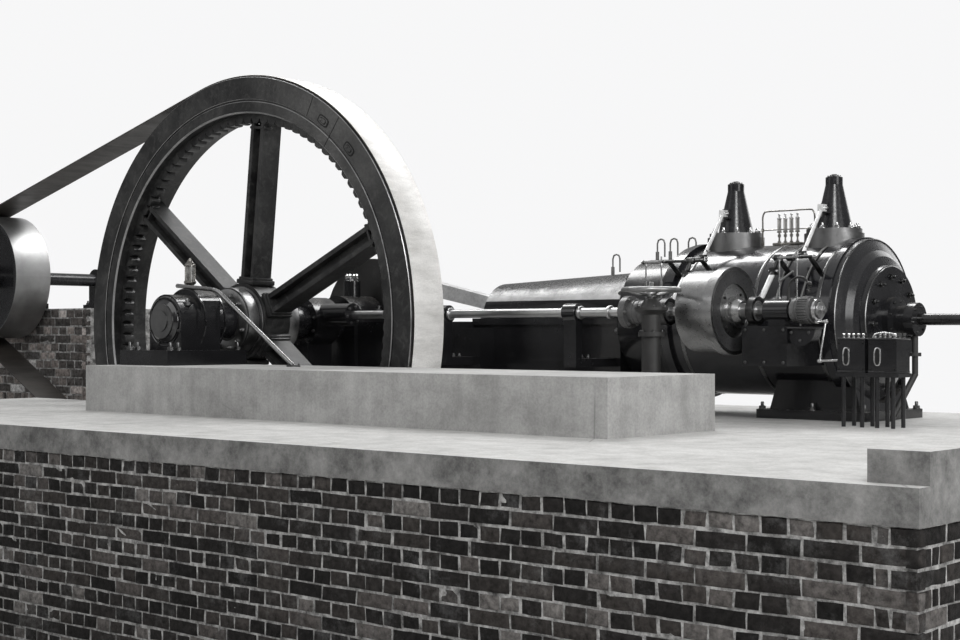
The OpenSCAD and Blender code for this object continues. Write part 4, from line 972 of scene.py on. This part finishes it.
def oilers():
    """The four sight-feed oilers in their pipe frame, and the large glass oiler on the outboard bearing."""
    shape = Shape()
    metal, clear, bright = 0, 1, 2
    shape.box((OILER_X - 0.11, -0.03, CYL_TOP), (OILER_X + 0.11, 0.03, CYL_TOP + 0.018), 0.004)
    for i in range(4):
        at = Vector((OILER_X + (i - 1.5) * 0.048, 0, CYL_TOP + 0.018))
        shape.finish_of_faces = metal
        shape.solid(at, Z, mm(0, 12, 10, 12, 12, 7, 38, 5.5, 40, 11, 58, 11, 60, 6, 68, 6, 71, 16.5,
                              79, 16.5), 18)
        shape.finish_of_faces = clear
        shape.solid(at, Z, mm(79, 13.5, 164, 13.5), 18)
        shape.finish_of_faces = bright
        shape.solid(at, Z, mm(164, 16.5, 170, 16.5, 175, 12, 181, 7.5, 184, 5.5, 190, 5.5, 192, 9.5, 198, 9.5,
                              202, 4), 18)
        shape.rod(at + Z * 0.079, at + Z * 0.164, 0.0028, 8)
    shape.finish_of_faces = metal
    left, right = OILER_X - 0.205, high("sight_feed_oilers").x - 0.0078
    foot, mid, top = CYL_TOP + 0.003, CYL_TOP + 0.11, CYL_TOP + 0.24
    right_foot = CYL_TOP + 0.097
    frame_line = ((left, foot), (left, CYL_TOP + 0.15), (left, top - 0.04), (left + 0.012, top - 0.01),
                  (left + 0.04, top), (OILER_X, top), (right - 0.04, top), (right - 0.012, top - 0.012),
                  (right, top - 0.042), (right, top - 0.1), (right, right_foot))
    shape.tube([(x, 0, z) for x, z in frame_line], 0.0058, 12, 5)
    shape.rod((left, 0, mid), (right, 0, mid), 0.0045, 10)
    for x, z in ((left, foot), (left, mid - 0.012), (right, mid - 0.012), (right, right_foot)):
        shape.solid((x, 0, z), Z, mm(0, 11.5, 20, 11.5, 24, 9), 6)
    base = Vector((-0.06, -2.0425, 2.2985))
    shape.solid(base, Z, mm(0, 24, 12, 24, 16, 14, 32, 14, 36, 26, 46, 41, 54, 46, 66, 46, 70, 42), 40)
    shape.solid(base, Z, mm(180, 46, 190, 46, 194, 41, 202, 38, 212, 27, 222, 22, 228, 21, 232, 12, 244, 10,
                            246, 6), 40)
    for k in range(3):
        a = 2 * math.pi * k / 3 + 0.4
        out = Vector((0.0425 * math.cos(a), 0.0425 * math.sin(a), 0))
        shape.rod(base + out + Z * 0.066, base + out + Z * 0.184, 0.003, 8)
    shape.rod(base + Z * 0.07, base + Z * 0.18, 0.005, 10)
    shape.finish_of_faces = clear
    shape.solid(base, Z, mm(70, 37.5, 180, 37.5), 32)
    piece = shape.done("oilers", "base", "oiled_bronze", BRASS, GLASS, BRIGHT, angle=32)
    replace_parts(piece, "sight_feed_oilers")


def small_oilers():
    """The four oil cups on the main bearing."""
    shape = Shape()
    cup = mm(0, 0, 0, 11, 6, 11, 8, 6, 14, 6, 17, 14, 20, 16.5, 36, 16.5, 40, 18.5, 44, 18.5, 50, 10, 53, 5,
             57, 5, 59, 0)
    for a in (0.4, 1.97, 3.54, 5.11):
        at = (0.042 * math.cos(a), MAIN_BEARING_Y + 0.042 * math.sin(a), high("main_bearing_cap").z)
        shape.turned(at, Z, [(along * 1.1, radius * 1.1) for along, radius in cup], 24)
    shape.done("small_oilers", "base", "oiled_bronze", BRIGHT)


def lubricator_trim():
    """Lids, sight windows, pump knobs and the ratchet handle of the two lubricators."""
    shape = Shape()
    paint, bright, dark = 0, 1, 2
    lo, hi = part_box("lubricators")
    half = 0.185 / 2
    knob = mm(0, 9.5, 8, 9.5, 10, 5, 14, 5, 17, 10.5, 24, 10.5, 27, 6)
    filler = mm(0, 8, 12, 8, 15, 4, 30, 3.5)
    for side in (-1, 1):
        x = (lo.x + hi.x) / 2 + side * (half + 0.012)
        shape.finish_of_faces = paint
        shape.box((x - half - 0.005, lo.y - 0.006, hi.z),
                  (x + half + 0.005, hi.y + 0.006, hi.z + 0.012), 0.004)
        shape.box((x - half - 0.003, lo.y - 0.004, lo.z + 0.002),
                  (x + half + 0.003, hi.y + 0.004, lo.z + 0.012), 0.003)
        window = aim((x - 0.030, lo.y, (lo.z + hi.z) / 2), -Y) @ Matrix.Rotation(math.pi / 2, 4, "Z")
        for grow, lift, bevel, shape.finish_of_faces in (
                (1.0, 0.0075, 0.0015, bright), (0.62, 0.0079, 0, dark)):
            shape.plate(rounded(0.040 + 0.016 * grow, 0.025 * grow, 0.7, 28), window, lift, bevel)
        for profile, y, sides, shape.finish_of_faces in ((knob, lo.y + 0.035, 16, bright),
                                                         (filler, hi.y - 0.04, 12, dark)):
            for k in range(5):
                shape.solid((x + (k - 2) * 0.033, y, hi.z + 0.012), Z, profile, sides)
        shape.nuts(grid((x - half + 0.012, x + half - 0.012), (lo.y,), (lo.z + 0.024, lo.z + 0.180)),
                   -Y, 0.010, 0.2, 0.1)
    shape.finish_of_faces = bright
    handle = ((0.17, 0.030, 0.014), (0.155, 0.030, 0.034), (0.10, 0.028, 0.044), (0.04, 0.026, 0.036),
              (0.012, 0.024, 0.018))
    shape.tube([(hi.x - back, lo.y + inwards, hi.z + up) for back, inwards, up in handle], 0.0055, 10, 6)
    shape.done("lubricator_trim", "base", "black_enamel", BLACK, BRIGHT, SEAM)


def lubricator_drive():
    """The strap round the side shaft's end, the rod down from it and the lubricators' rocking arm."""
    shape = Shape()
    box = low("lubricators")
    strap = on_side_shaft(4.655)
    lug = strap + Vector((0, -0.012, -0.072))
    top = Vector((4.722, lug.y - 0.008, lug.z))
    pin = Vector((4.706, box.y + 0.02, 1.80))
    shape.ring(strap - X * 0.009, X, mm(0, 56, 2, 71, 16, 71, 18, 56), 48)
    shape.box(lug - Vector((0.009, 0.014, 0.012)), lug + Vector((0.009, 0.014, 0.014)), 0.003)
    shape.rod(lug + Vector((-0.004, -0.008, 0)), top + X * 0.014, 0.0075, 16, 0.001)
    shape.tube([top, top.lerp(pin, 0.5) + Vector((0.002, -0.004, 0)), pin], 0.0058, 12, 4)
    for at in (top, pin):
        shape.solid(at - X * 0.012, X, mm(0, 11, 3, 13, 21, 13, 24, 11), 20)
    shape.tube([pin, pin + Vector((0.05, 0.004, 0.002)), (box.x + 0.002, pin.y + 0.02, 1.806)], 0.0075, 12, 4)
    shape.done("lubricator_drive", "base", "polished_steel", BRIGHT)


def shaft_trim():
    """What turns with the side shaft: coupling bolts, collars, the ridged pinion and the end nut."""
    shape = Shape()
    bare, dull, dark = 0, 1, 2
    shape.finish_of_faces = dull
    shape.nut_ring(on_side_shaft(3.18), -X, 0.088, 6, 0.024)
    shape.nut_ring(on_side_shaft(3.23), X, 0.095, 6, 0.022, 0.0, 0.2)
    shape.finish_of_faces = bare
    collar = mm(0, 31, 0, 44, 3, 47, 19, 47, 22, 44, 22, 31)
    teeth_start, teeth = 4.549, 30
    for x, profile, sides in (
            *((x, mm(0, 78, 3, 84, 12, 84, 15, 78), 64) for x in (3.262, 3.30, 3.34)),
            *((x - 0.011, collar, 40) for x in (1.40, 1.54, 2.64, 2.78, 3.04)),
            (teeth_start - 0.006, mm(0, 73, 0, 88.5, 5, 88.5, 5, 73), 60),
            (4.492, mm(0, 73, 2, 78, 30, 78, 34, 73), 60)):
        shape.ring(on_side_shaft(x), X, profile, sides)
    for k in range(teeth):
        turn = Matrix.Translation(on_side_shaft(0)) @ Matrix.Rotation(2 * math.pi * k / teeth, 4, "X")
        shape.box((teeth_start, -0.0045, 0.080), (teeth_start + 0.063, 0.0045, 0.0875), 0.0015, 1, turn)
    shape.finish_of_faces = dull
    shape.solid(on_side_shaft(4.68), X, mm(0, 30, 16, 30, 20, 25), 6)
    shape.solid(on_side_shaft(4.70), X, mm(0, 16, 10, 14), 20)
    shape.nut_ring(on_side_shaft(DRUM_FACE - 0.0004), X, 0.0865, 6, 0.013, 0.5, 0.1)
    shape.finish_of_faces = dark
    for k in range(4):
        a = k * math.pi / 2 + 0.9
        at = on_side_shaft(DRUM_FACE - 0.012) + Vector((0, 0.134 * math.cos(a), 0.134 * math.sin(a)))
        shape.solid(at, X, mm(0, 10, 7, 10, 9, 7), 20)
    shape.done("side_shaft_trim", "side_shaft", "polished_steel", SHAFT_STEEL, DULL, SEAM)


def cylinder_fasteners():
    """Nuts, studs and bands on the cylinder, its covers, its foot and the valve bonnets."""
    shape = Shape()
    oiled, band, oily, bright = 0, 1, 2, 3
    shape.nut_ring(on_axis(high("bed_frame").x), -X, 0.405, 18, 0.05, 0.17)
    shape.finish_of_faces = oily
    shape.nut_ring(on_axis(COVER_END), X, 0.282, 12, 0.036, 0.1, 0.6)
    shape.nut_ring(on_axis(COVER_END + 0.04), X, 0.125, 8, 0.02, 0.5, 0.3)
    shape.nut_ring(on_axis(high("tail_gland").x), X, 0.088, 6, 0.016, 0.2, 0.2)
    for node in ("front_valve_bonnet", "rear_valve_bonnet"):
        x, top = middle(node).x, high(node).z
        shape.finish_of_faces = bright
        shape.nut_ring((x, 0, CYL_TOP + 0.095), Z, 0.157, 10, 0.038, 0.31, 0.5)
        shape.finish_of_faces = oiled
        shape.nut_ring((x, 0, top), Z, 0.042, 5, 0.018, 0.2)
        shape.solid((x, 0, top), Z, mm(0, 22, 18, 22, 22, 18), 6)
    lo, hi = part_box("cylinder_foot")
    shape.nuts(grid((lo.x + 0.03, (lo.x + hi.x) / 2, hi.x - 0.03), (lo.y + 0.028, hi.y - 0.028),
                    (FLOOR + 0.06,)), Z, 0.045, 0.5, 0.6)
    shape.finish_of_faces = band
    for x in (3.405, 3.98, 4.462):
        shape.ring(on_axis(x - 0.014), X, mm(0, 519, 0, 522, 3, 523.5, 25, 523.5, 28, 522, 28, 519), 160)
    for x, r in ((4.5965, 0.5385), (4.7165, 0.3565)):
        shape.ring(on_axis(x), X, [(0, r - 0.006), (0, r), (0.004, r + 0.0012), (0.008, r - 0.004)], 160)
    shape.done("cylinder_fasteners", "base", "dark_iron", OILED_NUT, BARREL_BAND, OILY, BRIGHT)


def outboard_ring():
    """The glossy ring round the shaft's end and the bolts of the outboard bearing's two halves."""
    shape = Shape()
    oiled = 1
    centre = Vector((0, -2.32, AXIS))
    shape.ring(centre, -Y, mm(0, 84, 20, 88, 28, 98, 30, 112, 26, 130, 14, 146, 10, 162, 0, 166), 96)
    shape.ring(centre, -Y, mm(0, 176, 6, 178, 8, 186, 0, 190), 96)
    for y in (-2.14, -1.955):
        shape.ring((0, y, AXIS), Y, mm(0, 238, 2, 248.5, 12, 248.5, 14, 238), 96)
    shape.finish_of_faces = oiled
    shape.nut_ring(centre - Y * 0.005, -Y, 0.182, 8, 0.018, 0.39, 0.2)
    shape.nuts(grid((-0.15, 0.15), (-2.235,), (AXIS + 0.118,)), Z, 0.05, 0.3, 0.6)
    shape.done("outboard_ring", "base", "black_enamel", GLOSS, OILED_NUT)


def frame_fasteners():
    """Nuts and studs on the bearings, the bed, the gear casing, the brackets and the column."""
    shape = Shape()
    lo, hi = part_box("outboard_pedestal")
    shape.nuts(grid((lo.x + 0.045, hi.x - 0.045), (lo.y + 0.06, lo.y + 0.13, hi.y - 0.05),
                    (high("bearing_plinth").z + 0.11,)), Z, 0.05, 0.3, 0.7)
    shape.nuts(grid((-0.30, 0.30), (-0.55, -0.234), (FLOOR + 0.15,)), Z, 0.05, 0.3, 0.7)
    shape.nuts(grid((-0.205, 0.205), (-0.505, -0.279), (AXIS + 0.09,)), Z, 0.046, 0.3, 0.6)
    shape.nut((0, MAIN_BEARING_Y, high("main_bearing_cap").z), Z, 0.03, 0.0)
    lo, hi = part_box("bevel_casing")
    shape.nut_ring((0, lo.y, AXIS), -Y, 0.172, 10, 0.026, 0.2)
    shape.nut_ring((0, hi.y, AXIS), Y, 0.172, 10, 0.026, 0.2)
    shape.nut_ring(on_side_shaft(hi.x), X, 0.066, 6, 0.02, 0.2)
    shape.nuts(grid((-0.125, 0.125), (lo.y + 0.04, hi.y - 0.04), (FLOOR + 0.06,)), Z, 0.036, 0.3, 0.6)
    shape.nuts(grid((4.165, 4.305, 4.445), (-0.90,), (1.785, 1.993)), -Y, 0.018, 0.2, 0.1)
    shape.nuts(grid((1.44, 1.50, 2.68, 2.74), (-0.70,), (1.79,)), Z, 0.028, 0.2, 0.5)
    shape.nuts(grid((PULLEY.x - 0.14, PULLEY.x + 0.14), (-1.175, -1.085, -0.395, -0.305),
                    (low("pulley_bearings").z + 0.05,)), Z, 0.036, 0.3, 0.6)
    x, y = middle("stop_valve_column").xy
    for drop, radius, count, size, first, stud in (
            (0.82, 0.096, 4, 0.034, 0.78, 0.6), (0.27, 0.072, 6, 0.016, 0.3, 0.3),
            (0.114, 0.092, 6, 0.02, 0.3, 0.3)):
        shape.nut_ring((x, y, HAND_Z - drop), Z, radius, count, size, first, stud)
    start, end = 1.38 + 0.09, high("bed_frame").x - 0.09
    shape.nuts(grid([start + (end - start) * k / 8 for k in range(9)], (-0.405, 0.405), (AXIS + 0.025,)),
               Z, 0.022, 0.2, 0.3)
    shape.done("frame_fasteners", "base", "dark_iron", OILED_NUT)


def valve_gear_trim():
    """Pins, collars, lock nuts and trip rods on the valve gear."""
    shape = Shape()
    rocker_y, rocker_z, trip_y = -0.565, 2.465, -0.620
    strap_way = Vector((0, math.cos(math.radians(50)), math.sin(math.radians(50))))
    side = X.cross(strap_way) * 0.026
    for valve, strap in zip(VALVE_X, (3.52, 4.205)):
        for x in (strap, valve):
            shape.solid((x - 0.030, rocker_y, rocker_z), X, mm(0, 18, 4, 21, 56, 21, 60, 18), 28)
        arm, elbow = Vector((strap, -0.62, 2.375)), Vector((valve, -0.415, 2.49))
        top = Vector((valve, -0.150, 2.81))
        for at, reach in ((arm, 0.022), (elbow, 0.018), (top, 0.020)):
            for way in (-X, X):
                shape.nut(at + way * reach, way, 0.024, 0.2, 0.2)
        foot = on_side_shaft(strap) + strap_way * 0.088
        shape.nuts((foot - side, foot + side), strap_way, 0.020, 0.2, 0.8)
        for start, way in ((arm - strap_way * 0.06, strap_way), (elbow.lerp(top, 0.12), top - elbow),
                           (elbow.lerp(top, 0.84), top - elbow)):
            shape.solid(start, way, mm(0, 16, 14, 16, 16, 13), 6)
    for x0, x1 in ((3.12, 3.64), (4.175, 4.47)):
        shape.nut((x0 + 0.004, rocker_y, rocker_z), -X, 0.026, 0.2, 0.3)
        shape.nut((x1 - 0.004, rocker_y, rocker_z), X, 0.026, 0.2, 0.3)
    for first in (3.183, 4.247):
        shape.box((first - 0.016, -0.636, 2.180), (first + 0.146, -0.500, 2.193), 0.003)
        shape.box((first - 0.010, -0.634, 2.456), (first + 0.140, -0.556, 2.468), 0.002)
        for x, top in ((first, 2.462), (first + 0.130, 2.500)):
            shape.rod((x, trip_y, 2.168), (x, trip_y, top), 0.0055, 14, 0.001)
            for z in (2.193, 2.44):
                shape.solid((x, trip_y, z), Z, mm(0, 10.5, 13, 10.5, 15, 8), 6)
            shape.turned((x, trip_y, 2.300), Z, mm(0, 0, 3, 10, 30, 10, 33, 0), 16)
    shape.rod((4.260, -0.628, 2.310), (4.357, -0.628, 2.373), 0.008, 14, 0.002)
    shape.done("valve_gear_trim", "base", "polished_steel", STEEL)


def shaft_end_casting():
    """The quadrant below the side shaft's end and the small sprung lever above it."""
    shape = Shape()
    oiled, dark = 1, 2
    place = Matrix((X, Z, -Y)).transposed().to_4x4()
    place.translation = Vector((4.553, SIDE_Y + 0.045, 2.008))
    turns = [-math.pi * k / 24 for k in range(1, 24)]
    quadrant = [(0.104 * math.cos(a), -0.012 + 0.104 * math.sin(a)) for a in turns]
    shape.plate(mm(-105, 0, 105, 0, 108, -12) + quadrant + mm(-108, -12), place, 0.085, 0.004)
    shape.box((4.452, SIDE_Y - 0.060, 1.996), (4.672, SIDE_Y + 0.060, 2.010), 0.004)
    shape.finish_of_faces = oiled
    shape.nuts([(x, SIDE_Y - 0.040, z) for x, z in ((4.49, 1.975), (4.615, 1.975), (4.553, 1.925))],
               -Y, 0.018, 0.2, 0.2)
    shape.finish_of_faces = dark
    base = Vector((4.44, SIDE_Y + 0.012, SIDE_Z + 0.060))
    tip = base + Vector((0.155, -0.014, 0))
    shape.solid(base, Z, mm(0, 16, 10, 16, 12, 10, 90, 10), 20)
    lever = ((0, 0, 0.085), (0.02, 0, 0.125), (0.07, -0.006, 0.150), (0.12, -0.012, 0.140),
             (0.155, -0.014, 0.105))
    shape.tube([base + Vector(p) for p in lever], 0.008, 12, 5)
    coil = [(0.013 * math.cos(k * 0.9), 0.013 * math.sin(k * 0.9), 0.108 - k * 0.0016) for k in range(30)]
    shape.tube([tip + Vector(p) for p in coil], 0.0028, 8, 2)
    shape.turned(tip + Z * 0.100, Z, mm(0, 0, 0, 17, 8, 19, 18, 12, 22, 0), 24)
    shape.turned(tip + Z * 0.048, Z, mm(0, 0, 2, 14, 10, 16, 14, 0), 24)
    shape.done("shaft_end_casting", "base", "dark_iron", BLACK, OILED_NUT, DARK)


def crank_trim():
    """Shallow turned lines and the balance weight's edge on the crank disc, clear of the rod beside it."""
    lo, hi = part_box("crank_disc")
    rim = (hi.z - lo.z) / 2
    shape = Shape()
    for r, wide in ((rim - 0.030, 0.006), (0.205, 0.005), (0.155, 0.012)):
        shape.ring((0, hi.y, AXIS), Y, [(0, r - wide), (0, r), (0.0006, r - 0.0006),
                                        (0.0006, r - wide + 0.0006)], 120)
    shape.finish_of_faces = 1
    for y in (lo.y + 0.030, hi.y - 0.030):
        shape.ring((0, y - 0.003, AXIS), Y, [(0, rim - 0.001), (0, rim + 0.0004), (0.003, rim + 0.0012),
                                             (0.006, rim + 0.0004), (0.006, rim - 0.001)], 140)
    outer, inner, steps = rim - 0.055, 0.245, 40
    angles = [math.radians(205 + 130 * k / steps) for k in range(steps + 1)]
    edge = [Vector((outer * math.cos(a), 0, outer * math.sin(a))) for a in angles]
    edge += [Vector((inner * math.cos(a), 0, inner * math.sin(a))) for a in reversed(angles)]
    for a, b in zip(edge, edge[1:] + edge[:1]):
        side = (b - a).cross(Y).normalized() * 0.002
        points = [p + Vector((0, hi.y + h, AXIS)) for h in (-0.0004, 0.0005)
                  for p in (a - side, b - side, b + side, a + side)]
        shape.faces(points, [(0, 1, 2, 3), (4, 7, 6, 5), (0, 4, 5, 1), (1, 5, 6, 2), (2, 6, 7, 3),
                             (3, 7, 4, 0)])
    shape.done("crank_trim", "flywheel", "dark_iron", OILY, SEAM)


def rod_trim():
    """The connecting rod's bearing caps, wedge and bolts."""
    shape = Shape()
    big = Vector((0, 0, AXIS + 0.4))
    out = (big - on_axis(middle("crosshead").x)).normalized()
    across = out.cross(Y).normalized()
    face = high("connecting_rod").y
    shape.solid(big + Y * face, Y, mm(-2, 92, 4, 92, 8, 86, 8, 30, 14, 26), 56)
    for side in (-1, 1):
        nut_at = big + out * 0.105 + across * side * 0.085
        shape.rod(nut_at, nut_at + out * 0.028, 0.019, 20)
        shape.nut(nut_at + out * 0.026, out, 0.044, 0.2, 0.5)
        shape.nut(big - out * 0.175 + across * side * 0.045 + Y * face, Y, 0.030, 0.2, 0.4)
    shape.finish_of_faces = 1
    place = Matrix((out, Y, across)).transposed().to_4x4()
    place.translation = big
    for reach in (0.150, 0.205):
        shape.box((-reach - 0.0012, face - 0.002, -0.125), (-reach + 0.0012, face + 0.0012, 0.125),
                  place=place)
    shape.done("rod_trim", "connecting_rod", "polished_steel", STEEL, SEAM)


def added(name, data):
    """A new object in the scene."""
    thing = bpy.data.objects.new(name, data)
    bpy.context.scene.collection.objects.link(thing)
    return thing


def camera():
    """The photograph's camera: level, at the height of the crankshaft, looking past the cylinder's end."""
    data = bpy.data.cameras.new("camera")
    data.lens = 60
    data.sensor_width = 36
    data.shift_y = 0.0129
    data.clip_start, data.clip_end = 0.05, 400
    seen = added("camera", data)
    turn = math.radians(41.7)
    seen.location = (9.719, -9.69, 1.976)
    seen.rotation_euler = Vector((-math.sin(turn), math.cos(turn), 0)).to_track_quat("-Z", "Y").to_euler()
    bpy.context.scene.camera = seen


def lamps():
    """Soft area lamps: name, place, target, width, height and power."""
    for name, at, target, wide, tall, power in (
            ("skylight", (0.0, 3.2, 9.2), (3.0, 0.0, 2.2), 11, 1.8, 790),
            ("window", (-3.0, -9.0, 5.6), (3.0, -0.5, 2.2), 4.5, 4.5, 70),
            ("front", (11.0, -10.0, 9.0), (2.0, -2.5, 1.2), 4, 4, 900),
            ("fill", (15.0, -3.0, 5.0), (1.0, -1.5, 2.2), 5, 5, 430),
            ("back", (3.0, 9.0, 6.0), (1.5, 0.0, 1.5), 6, 6, 220)):
        data = bpy.data.lights.new(name, "AREA")
        data.shape = "RECTANGLE"
        data.size, data.size_y, data.energy = wide, tall, power
        lit = added(name, data)
        lit.location = at
        lit.rotation_euler = (Vector(target) - Vector(at)).to_track_quat("-Z", "Y").to_euler()


def stage_floor():
    """The pale studio floor, which turns into the surround's white away from the part."""
    f = Finish("studio_floor")
    far = f.ramp(f.sum("DIVIDE", f.reach("z", 1.5, -1.5), 40.0), [(0.20, 0.0), (0.42, 1.0)])
    share = f.sum("MULTIPLY", far, f.add("ShaderNodeLightPath").outputs["Is Camera Ray"])
    f.done(Base_Color=f.blend(share, (0.8, 0.8, 0.79), 0.0), Roughness=0.9, Specular_IOR_Level=0.0,
           Emission_Color=WHITE, Emission_Strength=share)
    mesh = bpy.data.meshes.new("studio_floor")
    reach = 60
    mesh.from_pydata([(-reach, -reach, 0), (reach, -reach, 0), (reach, reach, 0), (-reach, reach, 0)], [],
                     [(0, 1, 2, 3)])
    mesh.materials.append(f.material)
    added("studio_floor", mesh)


def surround():
    """A surround that the camera sees as plain white, and that lights the part more softly from below."""
    world = bpy.data.worlds.new("surround")
    bpy.context.scene.world = world
    f = Nodes(world)
    height = f.split(f.add("ShaderNodeTexCoord").outputs["Generated"])[2]
    path = f.add("ShaderNodeLightPath").outputs
    soft, plain, mixed = (f.add("ShaderNode" + kind) for kind in ("Background", "Background", "MixShader"))
    f.feed(soft.inputs[0], f.ramp(height, [(0.0, 0.20), (0.25, (0.38, 0.38, 0.385)), (0.85, 0.95)]))
    f.feed(soft.inputs[1], 0.62)
    f.feed(plain.inputs[0], WHITE)
    f.feed(mixed.inputs[0], f.sum("MAXIMUM", path["Is Camera Ray"], path["Is Transmission Ray"]))
    f.feed(mixed.inputs[1], soft.outputs[0])
    f.feed(mixed.inputs[2], plain.outputs[0])
    f.feed(f.add("ShaderNodeOutputWorld").inputs[0], mixed.outputs[0])


for make in (camera, lamps, stage_floor, surround, dress_nodes, masonry, belt, wheel_rim, wheel_joints,
             wheel_hub, hand_wheel, rail, oilers, small_oilers, lubricator_trim, lubricator_drive, shaft_trim,
             cylinder_fasteners, outboard_ring, shaft_end_casting, crank_trim, rod_trim, frame_fasteners,
             valve_gear_trim):
    make()

bpy.context.scene.view_settings.view_transform = "Standard"
